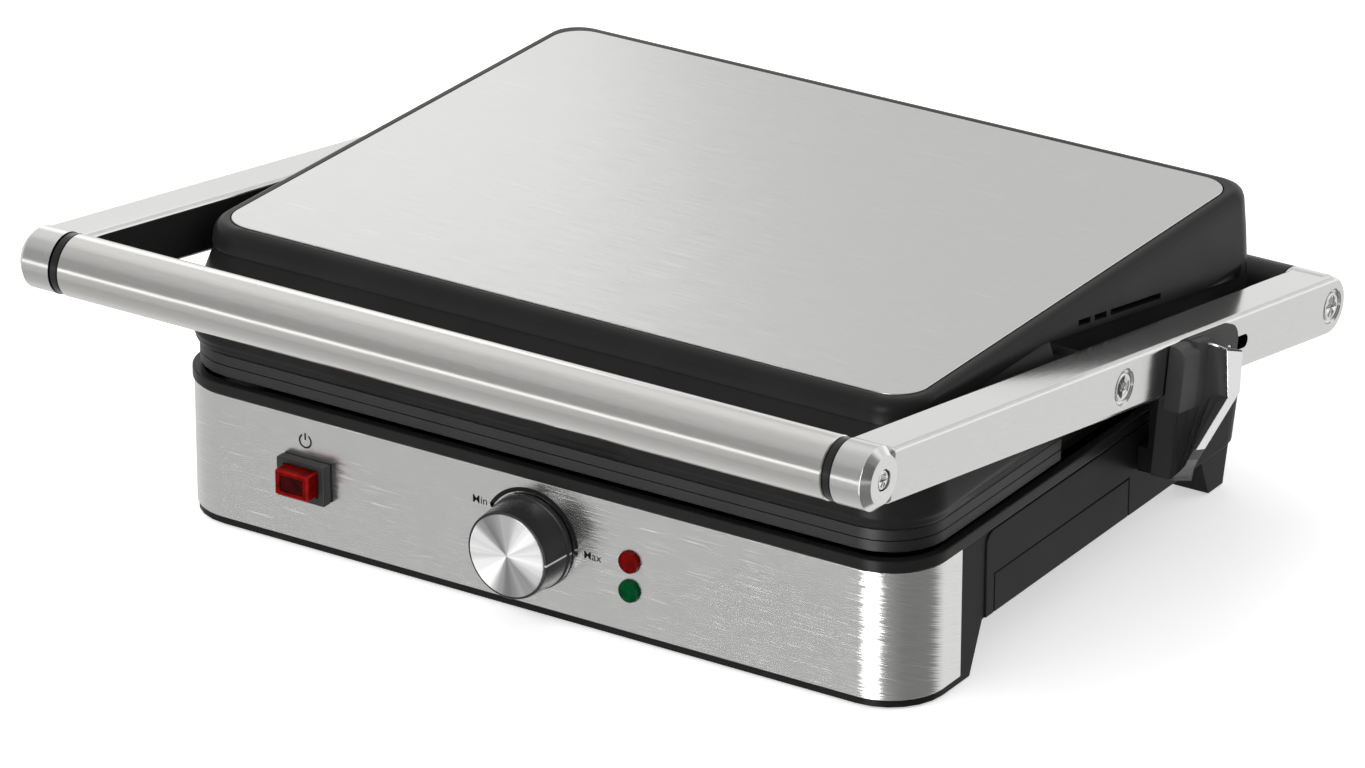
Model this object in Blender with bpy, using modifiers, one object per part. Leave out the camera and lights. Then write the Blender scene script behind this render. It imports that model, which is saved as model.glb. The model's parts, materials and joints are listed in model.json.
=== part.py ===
"""Countertop contact grill with a floating cover that opens flat.

The pieces are drawn in the appliance's own directions: x = 0 is the middle plane,
y = 0 is the front of the steel band, y grows to the rear, and z = 0 is the table.
Everything hangs from one empty, which moves the origin to the middle of the
footprint. Each moving group hangs from an empty on its joint's axis.
"""
import math

import bmesh
import bpy
from mathutils import Matrix, Vector

MM = 0.001

# Clearances and counts
GAP = 0.3 * MM
RUN_GAP = 0.6 * MM
OVERRUN = 4.0 * MM
WELD = 0.002 * MM
CORNER_STEPS = 6
ROUND_STEPS = 24
SMALL_STEPS = 14
SMOOTH_ANGLE = math.radians(35)

# Steel front band
BAND_HALF = 165.0 * MM
BAND_RADIUS = 23.4 * MM
BAND_BOTTOM = 3.66 * MM
BAND_TOP = 54.86 * MM
BAND_DEPTH = 35.0 * MM
BAND_SHEET = 0.8 * MM

# Lower housing
BASE_BOTTOM = 0.8 * MM
BASE_TOP = BAND_TOP - GAP
BASE_REAR_TOP = 255.5 * MM
BASE_REAR_SLANT = 12.0 * MM
BASE_REAR_LOW = BASE_REAR_TOP - BASE_REAR_SLANT
BASE_REAR_RADIUS = 12.0 * MM
BASE_WALL = 2.6 * MM
BASE_FLOOR = 2.3 * MM
ARCH_Z = 20.3 * MM
ARCH_FRONT = 50.5 * MM
ARCH_SLANT = 8.4 * MM
REAR_FOOT_LENGTH = 23.0 * MM
ARCH_REAR = BASE_REAR_LOW - REAR_FOOT_LENGTH
REAR_FOOT_SIDE = 4.6 * MM
REAR_FOOT_WIDTH = 16.0 * MM
REAR_FOOT_OUT = BAND_HALF - REAR_FOOT_SIDE
REAR_FOOT_IN = REAR_FOOT_OUT - REAR_FOOT_WIDTH
SIDE_STRIP_INSET = 0.5 * MM

# Side panels
PANEL_FRONT = 52.0 * MM
PANEL_REAR_MARGIN = 20.5 * MM
PANEL_REAR = BASE_REAR_TOP - PANEL_REAR_MARGIN
PANEL_TOP = BASE_TOP - GAP
PANEL_SHEET = 1.5 * MM
PANEL_RADIUS = 5.0 * MM
PANEL_PROUD = 0.2 * MM
PANEL_OUT = BAND_HALF + PANEL_PROUD

# Rim of the lower housing
RIM_PROUD = 0.7 * MM
RIM_BOTTOM = BAND_TOP + GAP
RIM_HEIGHT = 4.64 * MM
RIM_TOP = RIM_BOTTOM + RIM_HEIGHT
RIM_WIDTH = 4.2 * MM

# Grill plates, which meet at the parting plane
PART_RISE = 6.75 * MM
PART_Z = RIM_TOP + PART_RISE
PLATE_INSET = 1.6 * MM
PLATE_OVERHANG = 2.0 * MM
PLATE_REAR = BASE_REAR_TOP + PLATE_OVERHANG
PLATE_REAR_RADIUS = 14.0 * MM
PLATE_FLANGE = 4.4 * MM
PLATE_STEP = 8.0 * MM
PLATE_NARROW = BAND_HALF - PLATE_STEP
PLATE_STEP_Y = 108.0 * MM
PLATE_WALL = 3.0 * MM
BASIN_SIDE = 16.5 * MM
BASIN_HALF = BAND_HALF - BASIN_SIDE
BASIN_FRONT = 15.0 * MM
BASIN_REAR_MARGIN = 12.5 * MM
BASIN_REAR = PLATE_REAR - BASIN_REAR_MARGIN
BASIN_RADIUS = 14.0 * MM
BASIN_DEPTH = 6.0 * MM
RIB_COUNT = 19
RIB_HEIGHT = 3.3 * MM
RIB_MARGIN = 17.1 * MM
RIB_PITCH = (BASIN_HALF - RIB_MARGIN) * 2 / (RIB_COUNT - 1)
RIB_FOOT = 6.4 * MM
RIB_CREST = 3.4 * MM
CHANNEL = 11.0 * MM
SKIRT_DEPTH = 6.2 * MM
DRAIN_RADIUS = 4.0 * MM
DRAIN_Y = 108.0 * MM

# Heating elements and reflectors
HEATER_RADIUS = 3.2 * MM
HEATER_REACH_SHARE = 0.80
SHIELD_SHEET = 0.8 * MM

# Drip tray in the right side
TRAY_FRONT = 58.0 * MM
TRAY_REAR = 157.0 * MM
TRAY_TOP = 36.0 * MM
TRAY_IN = 12.0 * MM
TRAY_WALL = 1.8 * MM
TRAY_RADIUS = 4.0 * MM

# Bottom cover and feet
COVER_SHEET = 1.5 * MM
BOTTOM_SIDE = 27.0 * MM
BOTTOM_HALF = BAND_HALF - BOTTOM_SIDE
BOTTOM_FRONT = 52.0 * MM
BOTTOM_REAR_MARGIN = 29.5 * MM
BOTTOM_REAR = BASE_REAR_LOW - BOTTOM_REAR_MARGIN
VENT_COUNT = 9
VENT_PITCH = 12.0 * MM
VENT_LENGTH = 46.0 * MM
VENT_WIDTH = 3.4 * MM
SCREW_RADIUS = 1.6 * MM
SCREW_HEAD = 3.2 * MM
SCREW_HEAD_HEIGHT = 1.5 * MM
SCREW_REACH = 2.4 * MM
SCREW_MARGIN = 7.0 * MM
FOOT_HEIGHT = 2.8 * MM
FRONT_FOOT_RADIUS = 8.0 * MM
REAR_FOOT_RADIUS = 4.6 * MM
FRONT_FOOT_SIDE = 25.0 * MM
FRONT_FOOT_X = BAND_HALF - FRONT_FOOT_SIDE
FRONT_FOOT_Y = 22.0 * MM
REST_BOTTOM = 21.5 * MM
REST_TOP = 40.5 * MM
REST_PROUD = 8.0 * MM
REST_WIDTH = 11.0 * MM
REST_SIDE = 5.0 * MM
REST_OUT = BAND_HALF - REST_SIDE

# Controls on the front band
KNOB_Z = 30.0 * MM
KNOB_FACE = 16.3 * MM
KNOB_RADIUS = 18.8 * MM
KNOB_NOSE_RADIUS = 17.4 * MM
KNOB_DISC_RADIUS = 16.4 * MM
KNOB_DISC_SHEET = 0.9 * MM
KNOB_SKIRT = 2.2 * MM
SHAFT_RADIUS = 3.0 * MM
THERMOSTAT_HALF = 15.0 * MM
THERMOSTAT_DEPTH = 18.0 * MM
SWITCH_X = -101.4 * MM
SWITCH_Z = 30.3 * MM
SWITCH_WIDTH = 21.8 * MM
SWITCH_HEIGHT = 16.0 * MM
SWITCH_PROUD = 4.8 * MM
SWITCH_LEDGE = 1.4 * MM
SWITCH_WALL = 2.6 * MM
BUTTON_WIDTH = 15.3 * MM
BUTTON_HEIGHT = 10.3 * MM
BUTTON_LIFT = 0.6 * MM
BUTTON_REACH = 6.0 * MM
BUTTON_TRAVEL = 3.0 * MM
SWITCH_DEPTH = 16.0 * MM
LAMP_X = 43.8 * MM
LAMP_Z_RED = 32.6 * MM
LAMP_Z_GREEN = 20.75 * MM
LAMP_RADIUS = 4.3 * MM
LAMP_PROUD = 1.7 * MM
LAMP_EDGE = 0.4 * MM
LAMP_DEPTH = 6.0 * MM

# Rear of the lower housing
INLET_X = -96.0 * MM
INLET_Z = 33.0 * MM
INLET_RADIUS = 8.5 * MM
INLET_FLANGE_RADIUS = 11.0 * MM
INLET_BORE = 4.2 * MM
INLET_PROUD = 5.0 * MM
INLET_LENGTH = 16.0 * MM
TERMINAL_SIZE = 22.0 * MM
TERMINAL_HEIGHT = 13.0 * MM
TERMINAL_DEPTH = 12.0 * MM

# Hinge at the rear, on the parting plane
HINGE_SETBACK = 20.9 * MM
HINGE_RISE = 0.45 * MM
HINGE_Y = PLATE_REAR + HINGE_SETBACK
HINGE_Z = PART_Z + HINGE_RISE
BARREL_RADIUS = 12.0 * MM
ARM_CLEARANCE = 1.0 * MM
ARM_IN = BAND_HALF + ARM_CLEARANCE
BARREL_HALF = ARM_IN - GAP
LUG_SIDE = 53.0 * MM
LUG_X = BAND_HALF - LUG_SIDE
LUG_WIDTH = 22.0 * MM
LUG_DROP = 24.0 * MM
LUG_SHARE = 0.8
PIN_RADIUS = 3.5 * MM
PIN_REACH = 18.0 * MM
CAP_SCREW_REACH = 12.0 * MM

# Lid frame: two arms and the handle tube
ARM_DEPTH = 19.0 * MM
ARM_OUT = ARM_IN + ARM_DEPTH
ARM_HALF_FRONT = 10.4 * MM
ARM_HALF_REAR = 11.4 * MM
ARM_SHEET = 1.6 * MM
ARM_EDGE = 2.2 * MM
ARM_SOLID_REAR = 24.0 * MM
ARM_SOLID_FRONT = 20.0 * MM
LINER_SHEET = 3.4 * MM
HANDLE_Y = -54.4 * MM
HANDLE_RADIUS = 11.94 * MM
HANDLE_WALL = 1.4 * MM
TABLE_GAP = 0.26 * MM
HANDLE_Z = 2 * HINGE_Z - HANDLE_RADIUS - TABLE_GAP
TUBE_SEAT = 0.1 * MM
HANDLE_HALF = ARM_IN + TUBE_SEAT
RING_SHEET = 3.2 * MM
CAP_CHAMFER = 3.0 * MM
PIVOT_RUN = 165.0 * MM
HEAD_RADIUS = 5.5 * MM
HEAD_HEIGHT = 1.4 * MM
HEAD_RECESS = 0.4 * MM
SMALL_HEAD_RADIUS = 3.6 * MM
HEAD_RING = 1.2 * MM
PIVOT_RADIUS = 3.0 * MM
BUSH_WALL = 2.0 * MM
BOSS_RADIUS = 9.0 * MM

# Cover that floats in the arms
LIP_HALF = ARM_IN - RUN_GAP
LIP_FRONT = -1.0 * MM
LIP_OVERHANG = 7.7 * MM
LIP_REAR = PLATE_REAR + LIP_OVERHANG
SKIRT_STEP = 1.4 * MM
SKIRT_REAR = LIP_REAR - SKIRT_STEP
COVER_RISE = 4.55 * MM
COVER_HEIGHT = 46.9 * MM
COVER_BOTTOM = PART_Z + COVER_RISE
COVER_TOP = COVER_BOTTOM + COVER_HEIGHT
COVER_FRONT_RADIUS = 25.0 * MM
COVER_REAR_RADIUS = 17.0 * MM
TOP_PLATE_BORDER = 13.1 * MM
TOP_PLATE_HALF = LIP_HALF - TOP_PLATE_BORDER
TOP_PLATE_FRONT = 15.9 * MM
TOP_PLATE_SETBACK = 8.1 * MM
TOP_PLATE_REAR = LIP_REAR - TOP_PLATE_SETBACK
TOP_PLATE_RADIUS = 13.0 * MM
TOP_PLATE_SHEET = 1.0 * MM
TOP_PLATE_PROUD = 0.3 * MM
GROOVE = 0.6 * MM
CAVITY_SIDE = 12.5 * MM
CAVITY_HALF = LIP_HALF - CAVITY_SIDE
CAVITY_FRONT = 11.4 * MM
CAVITY_SETBACK = 8.8 * MM
CAVITY_REAR = LIP_REAR - CAVITY_SETBACK
ROOF_SHEET = 5.0 * MM
CAVITY_TOP = COVER_TOP - ROOF_SHEET
RECESS_SIDE = 8.9 * MM
RECESS_HALF = LIP_HALF - RECESS_SIDE
RECESS_BEND = 103.0 * MM
RECESS_DROP = 8.6 * MM
RECESS_TOP = COVER_TOP - RECESS_DROP
SLOT_LENGTH = 38.0 * MM
SLOT_SHORT = 9.0 * MM
SLOT_HEIGHT = 2.4 * MM
SLOT_PITCH = 12.0 * MM
SLOT_START = 190.0 * MM
SLOT_RISE = 2.4 * MM
RIDGE_SLOPE = 0.18
# Height share of the cover, then inset share from its lip to the steel plate
skirt_shares = (
    (0.000, 0.150), (0.043, 0.060), (0.106, 0.000), (0.277, 0.050), (0.574, 0.330), (0.870, 0.700),
)
# Height share of the cover, then half width, front and rear as shares of the lip's own
hood_shares = (
    (0.180, 0.9460, 0.0500, 0.9920), (0.250, 0.9570, 0.0450, 1.0050), (0.360, 0.9570, 0.0400, 1.0095),
    (0.830, 0.9555, 0.0340, 0.9995), (0.979, 0.9465, 0.0470, 0.9900), (1.000, 0.9340, 0.0580, 0.9790),
)

# Side lock on the right arm, in runs from the mid pivot towards the rear
LOCK_PLATE_SHEET = 2.5 * MM
LOCK_PLATE_FRONT = 43.5 * MM
LOCK_PLATE_REAR = 82.5 * MM
LOCK_PLATE_UP = 10.6 * MM
LOCK_PLATE_DOWN = 12.0 * MM
LOCK_PLATE_RADIUS = 8.0 * MM
LOCK_BLOCK_SHEET = 6.0 * MM
LOCK_BLOCK_LENGTH = 9.0 * MM
LOCK_BLOCK_DOWN = 15.0 * MM
LOCK_DEPTH = 13.0 * MM
LOCK_OUT = ARM_OUT + LOCK_DEPTH
LOCK_UNDER_DEPTH = 8.0 * MM
LOCK_UNDER_IN = ARM_OUT - LOCK_UNDER_DEPTH
LOCK_UNDER_TOP = 13.4 * MM
LOCK_TRIM_SHEET = 0.6 * MM
LOCK_TRIM_MARGIN = 1.4 * MM
LOCK_SCOOP = 3.2 * MM
LOCK_TRAVEL = 10.0 * MM
LOCK_PIN_RUN = 76.0 * MM
LOCK_SLOT_HALF = 2.7 * MM
LOCK_SLOT_MARGIN = 6.0 * MM
LOCK_SLOT_FRONT = LOCK_PIN_RUN - LOCK_SLOT_MARGIN
LOCK_SLOT_REAR = LOCK_PIN_RUN + LOCK_TRAVEL * 2
LOCK_PIN_RADIUS = 2.2 * MM
LOCK_PIN_HEAD = 4.4 * MM
LOCK_PIN_HEAD_HEIGHT = 1.4 * MM
LOCK_REACH = 40.0 * MM
# Run and rise of the thumb blade's corners, as shares of LOCK_REACH: front top, front
# bend, front foot, rear foot, rear bend and rear top, at its outer and inner ends
blade_outer_shares = ((1.31, 0.19), (1.44, -0.30), (0.80, -0.79), (1.00, -0.82), (1.70, -0.30), (1.66, 0.11))
blade_inner_shares = ((1.10, 0.24), (1.10, -0.30), (1.10, -1.12), (1.50, -1.20), (1.68, -0.34), (1.66, 0.11))

# Keeper for the side lock, on the right side of the lower housing
KEEPER_CLEARANCE = 1.0 * MM
KEEPER_FRONT = 162.0 * MM
KEEPER_REAR = 202.0 * MM
KEEPER_IN = PANEL_OUT + GAP
KEEPER_OUT = LOCK_UNDER_IN - KEEPER_CLEARANCE
KEEPER_BOTTOM = 37.5 * MM
KEEPER_STEP = 48.0 * MM
KEEPER_TOP = 69.0 * MM
KEEPER_REAR_TOP = 65.5 * MM
KEEPER_POST_SHEET = 5.0 * MM
KEEPER_POST_OUT = KEEPER_OUT - KEEPER_CLEARANCE
KEEPER_POST_IN = KEEPER_POST_OUT - KEEPER_POST_SHEET
KEEPER_POST_LENGTH = 14.0 * MM
KEEPER_WALL = 6.0 * MM
FINGER_ROOT = 168.0 * MM
FINGER_REAR = 184.0 * MM
FINGER_WIDTH = 4.5 * MM
FINGER_FRONT = FINGER_REAR - FINGER_WIDTH
FINGER_BOTTOM = 52.0 * MM
FINGER_TOP = 57.8 * MM
FINGER_IN = KEEPER_POST_IN - KEEPER_CLEARANCE
LOCK_PLAY = 3.0 * MM
KEEPER_LIP_FRONT = FINGER_REAR + LOCK_PLAY
KEEPER_LIP_BOTTOM = FINGER_TOP + KEEPER_CLEARANCE

# Footprint middle, which becomes the origin
MIDDLE_X = (LOCK_OUT + LOCK_TRIM_SHEET - ARM_OUT) / 2
MIDDLE_Y = (HANDLE_Y - HANDLE_RADIUS + HINGE_Y + BARREL_RADIUS) / 2

# Direction of the arms, from the hinge up to the handle
ARM_RUN = Vector((HANDLE_Y - HINGE_Y, HANDLE_Z - HINGE_Z))
ARM_LENGTH = ARM_RUN.length
ARM_DIR = ARM_RUN.normalized()
ARM_UP = Vector((-ARM_DIR.y * -1, ARM_DIR.x * -1))
PIVOT = Vector((HINGE_Y, HINGE_Z)) + ARM_DIR * PIVOT_RUN

BODY_AXES = {
    "base": (0, 0, 0),
    "lid_frame": (0, HINGE_Y, HINGE_Z),
    "cover": (0, PIVOT.x, PIVOT.y),
    "side_lock": (ARM_OUT, PIVOT.x, PIVOT.y),
    "knob": (0, 0, KNOB_Z),
    "button": (SWITCH_X, 0, SWITCH_Z),
    "tray": (BAND_HALF, (TRAY_FRONT + TRAY_REAR) / 2, ARCH_Z),
}

# Colour, roughness and metallic value of each finish
FINISHES = {
    "black_plastic": ((0.022, 0.022, 0.023), 0.42, 0.0),
    "dark_plastic": ((0.012, 0.012, 0.012), 0.55, 0.0),
    "brushed_steel": ((0.62, 0.61, 0.59), 0.30, 1.0),
    "aluminium": ((0.75, 0.75, 0.76), 0.28, 1.0),
    "coated_plate": ((0.018, 0.018, 0.018), 0.50, 0.1),
    "heater_steel": ((0.20, 0.19, 0.18), 0.45, 1.0),
    "screw_steel": ((0.70, 0.70, 0.70), 0.25, 1.0),
    "brass": ((0.75, 0.58, 0.28), 0.35, 1.0),
    "rubber": ((0.015, 0.015, 0.015), 0.85, 0.0),
    "red_lens": ((0.60, 0.02, 0.02), 0.15, 0.0),
    "green_lens": ((0.02, 0.32, 0.12), 0.15, 0.0),
    "ceramic": ((0.80, 0.78, 0.72), 0.50, 0.0),
}


def clear_scene():
    """Remove every object that a new file brings."""
    for obj in list(bpy.data.objects):
        bpy.data.objects.remove(obj, do_unlink=True)


def make_collection(name):
    """A collection of its own under the scene."""
    group = bpy.data.collections.new(name)
    bpy.context.scene.collection.children.link(group)
    return group


clear_scene()
PARTS = make_collection("contact_grill")
TOOLS = make_collection("cutters")
EMPTIES = {}


def make_empties():
    """One empty at the footprint's middle, and one on each joint's axis."""
    root = bpy.data.objects.new("grill_origin", None)
    root.location = (-MIDDLE_X, -MIDDLE_Y, 0)
    PARTS.objects.link(root)
    for body, axis in BODY_AXES.items():
        empty = bpy.data.objects.new(body + "_axis", None)
        empty.location = axis
        empty.parent = root
        PARTS.objects.link(empty)
        EMPTIES[body] = empty


def finish_material(name, finish):
    """A Principled material of this piece's own."""
    colour, roughness, metallic = FINISHES[finish]
    material = bpy.data.materials.new(name + "_finish")
    material.use_nodes = True
    shader = material.node_tree.nodes["Principled BSDF"]
    shader.inputs["Base Color"].default_value = (*colour, 1.0)
    shader.inputs["Roughness"].default_value = roughness
    shader.inputs["Metallic"].default_value = metallic
    material.diffuse_color = (*colour, 1.0)
    return material


def add_piece(name, mesh, body, finish, at=(0, 0, 0)):
    """A named piece on a body, with its own material."""
    obj = bpy.data.objects.new(name, mesh)
    PARTS.objects.link(obj)
    obj.parent = EMPTIES[body]
    obj.location = Vector(at) - Vector(BODY_AXES[body])
    mesh.materials.append(finish_material(name, finish))
    mesh.shade_smooth()
    mesh.set_sharp_from_angle(angle=SMOOTH_ANGLE)
    return obj


def add_tool(name, mesh, body, at=(0, 0, 0)):
    """A helper solid that cuts or joins, and isn't a piece itself."""
    obj = bpy.data.objects.new(name, mesh)
    TOOLS.objects.link(obj)
    obj.parent = EMPTIES[body]
    obj.location = Vector(at) - Vector(BODY_AXES[body])
    obj.hide_render = True
    obj.display_type = "WIRE"
    return obj


def boolean(piece, tool, operation):
    """Leave a Boolean modifier on the piece."""
    modifier = piece.modifiers.new(tool.name, "BOOLEAN")
    modifier.operation = operation
    modifier.object = tool
    modifier.solver = "EXACT"
    return modifier


def cut(piece, tool):
    boolean(piece, tool, "DIFFERENCE")


def join(piece, tool):
    boolean(piece, tool, "UNION")


def arc_points(centre, radius, start, end, steps):
    """Points on an arc, both ends included, angles in degrees."""
    points = []
    for step in range(steps + 1):
        angle = math.radians(start + (end - start) * step / steps)
        points.append((centre[0] + radius * math.cos(angle), centre[1] + radius * math.sin(angle)))
    return points


def hole_outline(centre, radius):
    """A round hole's outline, its points in the order that a hole needs."""
    return arc_points(centre, radius, 360, 360 / SMALL_STEPS, SMALL_STEPS - 1)


def rounded_outline(x0, x1, y0, y1, low_radius, high_radius=None, steps=CORNER_STEPS):
    """A rectangle whose corners at y0 and y1 may have unlike radii."""
    if high_radius is None:
        high_radius = low_radius
    points = arc_points((x1 - low_radius, y0 + low_radius), low_radius, -90, 0, steps)
    points += arc_points((x1 - high_radius, y1 - high_radius), high_radius, 0, 90, steps)
    points += arc_points((x0 + high_radius, y1 - high_radius), high_radius, 90, 180, steps)
    points += arc_points((x0 + low_radius, y0 + low_radius), low_radius, 180, 270, steps)
    return points


# Turns that lay an outline's plane across the wanted axis
PLANES = {
    "Z": Matrix(((1, 0, 0), (0, 1, 0), (0, 0, 1))),
    "X": Matrix(((0, 0, 1), (1, 0, 0), (0, 1, 0))),
    "Y": Matrix(((1, 0, 0), (0, 0, -1), (0, 1, 0))),
}


def turn_outward(solid):
    """Make every face of a closed solid look outward."""
    bmesh.ops.recalc_face_normals(solid, faces=solid.faces)
    if solid.calc_volume(signed=True) < 0:
        bmesh.ops.reverse_faces(solid, faces=solid.faces)


def slab_mesh(name, loops, low, high, axis="Z"):
    """A flat outline, with any holes, given a thickness along one axis.

    Across Z the outline is (x, y), across X it is (y, z), and across Y it is (x, z).
    """
    curve = bpy.data.curves.new(name, "CURVE")
    curve.dimensions = "2D"
    curve.fill_mode = "BOTH"
    curve.extrude = (high - low) / 2
    for loop in loops:
        spline = curve.splines.new("POLY")
        spline.points.add(len(loop) - 1)
        for point, place in zip(spline.points, loop):
            point.co = (place[0], place[1], 0, 1)
        spline.use_cyclic_u = True
    holder = bpy.data.objects.new(name, curve)
    TOOLS.objects.link(holder)
    graph = bpy.context.evaluated_depsgraph_get()
    mesh = bpy.data.meshes.new_from_object(holder.evaluated_get(graph))
    bpy.data.objects.remove(holder, do_unlink=True)
    solid = bmesh.new()
    solid.from_mesh(mesh)
    bmesh.ops.remove_doubles(solid, verts=solid.verts, dist=WELD)
    bmesh.ops.dissolve_limit(solid, angle_limit=math.radians(0.1), verts=solid.verts, edges=solid.edges)
    turn = PLANES[axis]
    middle = (low + high) / 2
    shift = {"Z": (0, 0, middle), "X": (middle, 0, 0), "Y": (0, middle, 0)}[axis]
    bmesh.ops.transform(solid, matrix=turn.to_4x4(), verts=solid.verts)
    bmesh.ops.translate(solid, vec=shift, verts=solid.verts)
    turn_outward(solid)
    solid.to_mesh(mesh)
    solid.free()
    return mesh


def loft_mesh(name, rings):
    """A closed solid through rings of points that have the same count."""
    solid = bmesh.new()
    rows = [[solid.verts.new(place) for place in ring] for ring in rings]
    for lower, upper in zip(rows, rows[1:]):
        for index in range(len(lower)):
            after = (index + 1) % len(lower)
            solid.faces.new((lower[index], lower[after], upper[after], upper[index]))
    solid.faces.new(list(reversed(rows[0])))
    solid.faces.new(rows[-1])
    turn_outward(solid)
    mesh = bpy.data.meshes.new(name)
    solid.to_mesh(mesh)
    solid.free()
    return mesh


def turned_mesh(name, profile, axis="Z", steps=ROUND_STEPS):
    """A profile of (radius, height) pairs turned about an axis.

    The profile starts and ends on the axis, and runs down its outer side.
    """
    mesh = bpy.data.meshes.new(name)
    points = [(radius, 0, height) for radius, height in profile]
    edges = [(index, index + 1) for index in range(len(points) - 1)]
    mesh.from_pydata(points, edges, [])
    holder = bpy.data.objects.new(name, mesh)
    TOOLS.objects.link(holder)
    screw = holder.modifiers.new("turn", "SCREW")
    screw.axis = "Z"
    screw.angle = math.tau
    screw.steps = steps
    screw.render_steps = steps
    screw.use_merge_vertices = True
    screw.merge_threshold = WELD
    graph = bpy.context.evaluated_depsgraph_get()
    solid_mesh = bpy.data.meshes.new_from_object(holder.evaluated_get(graph))
    bpy.data.objects.remove(holder, do_unlink=True)
    solid = bmesh.new()
    solid.from_mesh(solid_mesh)
    bmesh.ops.remove_doubles(solid, verts=solid.verts, dist=WELD)
    bmesh.ops.dissolve_limit(solid, angle_limit=math.radians(0.1), verts=solid.verts, edges=solid.edges)
    bmesh.ops.transform(solid, matrix=PLANES[axis].to_4x4(), verts=solid.verts)
    turn_outward(solid)
    solid.to_mesh(solid_mesh)
    solid.free()
    return solid_mesh


def rod_mesh(name, radius, low, high, axis="X", steps=SMALL_STEPS):
    """A plain round bar along one axis."""
    profile = ((0, high), (radius, high), (radius, low), (0, low))
    if axis == "Y":
        profile = ((0, -low), (radius, -low), (radius, -high), (0, -high))
    return turned_mesh(name, profile, axis, steps)


def box_mesh(name, low, high):
    """A box between two corners, made from Blender's cube."""
    solid = bmesh.new()
    bmesh.ops.create_cube(solid, size=1)
    size = Vector(high) - Vector(low)
    bmesh.ops.scale(solid, vec=size, verts=solid.verts)
    bmesh.ops.translate(solid, vec=(Vector(low) + Vector(high)) / 2, verts=solid.verts)
    mesh = bpy.data.meshes.new(name)
    solid.to_mesh(mesh)
    solid.free()
    return mesh


def soften(piece, width, segments=2, angle=40):
    """Rounded edges where faces meet at a corner."""
    bevel = piece.modifiers.new("soft_edges", "BEVEL")
    bevel.width = width
    bevel.segments = segments
    bevel.limit_method = "ANGLE"
    bevel.angle_limit = math.radians(angle)
    bevel.harden_normals = False
    return bevel


def rear_wall_y(z):
    """Where the leaning rear wall of the lower housing stands at a height."""
    share = (z - BASE_BOTTOM) / (BASE_TOP - BASE_BOTTOM)
    return BASE_REAR_LOW + (BASE_REAR_TOP - BASE_REAR_LOW) * share


def arm_point(run, rise):
    """A (y, z) place on the arm: run towards the rear from the mid pivot, rise across it."""
    place = PIVOT - ARM_DIR * run + ARM_UP * rise
    return (place.x, place.y)


def hinge_point(run, rise):
    """A (y, z) place on the arm, with the run counted forward from the hinge."""
    place = Vector((HINGE_Y, HINGE_Z)) + ARM_DIR * run + ARM_UP * rise
    return (place.x, place.y)


def base_ring(z, inset):
    """The lower housing's outline at a height, as 3-D points."""
    outline = rounded_outline(
        -BAND_HALF + inset, BAND_HALF - inset, inset, rear_wall_y(z) - inset,
        BAND_RADIUS - inset, BASE_REAR_RADIUS - inset)
    return [(x, y, z) for x, y in outline]


def build_base_housing():
    """The black lower housing: leaning walls, front plinth, rear feet and tray tunnel."""
    side = SIDE_STRIP_INSET
    housing = add_piece("base_housing", loft_mesh(
        "base_housing", [base_ring(BASE_BOTTOM, side), base_ring(BASE_TOP, side)]), "base", "black_plastic")
    hollow = [base_ring(ARCH_Z + BASE_FLOOR, BASE_WALL), base_ring(BASE_TOP + OVERRUN, BASE_WALL)]
    cut(housing, add_tool("cut_base_hollow", loft_mesh("cut_base_hollow", hollow), "base"))
    below = BASE_BOTTOM - OVERRUN
    arch = [(ARCH_FRONT - ARCH_SLANT, below), (ARCH_FRONT - ARCH_SLANT, BASE_BOTTOM), (ARCH_FRONT, ARCH_Z),
            (ARCH_REAR, ARCH_Z), (ARCH_REAR + ARCH_SLANT, BASE_BOTTOM), (ARCH_REAR + ARCH_SLANT, below)]
    reach = BAND_HALF + OVERRUN
    cut(housing, add_tool("cut_arch", slab_mesh("cut_arch", [arch], -reach, reach, "X"), "base"))
    between = box_mesh("cut_between_feet", (-REAR_FOOT_IN, ARCH_REAR - OVERRUN, BASE_BOTTOM - OVERRUN),
                       (REAR_FOOT_IN, BASE_REAR_TOP, ARCH_Z))
    cut(housing, add_tool("cut_between_feet", between, "base"))
    for side_name, sign in (("left", -1), ("right", 1)):
        low = (min(sign * REAR_FOOT_OUT, sign * reach), ARCH_REAR - OVERRUN, BASE_BOTTOM - OVERRUN)
        high = (max(sign * REAR_FOOT_OUT, sign * reach), BASE_REAR_TOP, ARCH_Z)
        name = "cut_rear_foot_" + side_name
        cut(housing, add_tool(name, box_mesh(name, low, high), "base"))
        build_panel_seat(housing, side_name, sign)
    seat = band_outline(BAND_DEPTH + GAP, -OVERRUN, BAND_SHEET + GAP)
    cut(housing, add_tool("cut_band_seat", slab_mesh(
        "cut_band_seat", [seat], BAND_BOTTOM - GAP, BAND_TOP + OVERRUN), "base"))
    tunnel = box_mesh("cut_tray_tunnel", (TRAY_IN - RUN_GAP, TRAY_FRONT - GAP, ARCH_Z - OVERRUN),
                      (reach, TRAY_REAR + GAP, TRAY_TOP + GAP))
    cut(housing, add_tool("cut_tray_tunnel", tunnel, "base"))
    return housing


def build_panel_seat(housing, side_name, sign):
    """The flat seat that a side panel is set into."""
    inner = PANEL_OUT - PANEL_SHEET - GAP
    outline = panel_outline(GAP)
    name = "cut_panel_seat_" + side_name
    low, high = sorted((sign * inner, sign * (BAND_HALF + OVERRUN)))
    outline[1] = (outline[1][0], outline[1][1] - OVERRUN)
    outline[0] = (outline[0][0], outline[0][1] - OVERRUN)
    cut(housing, add_tool(name, slab_mesh(name, [outline], low, high, "X"), "base"))


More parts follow.
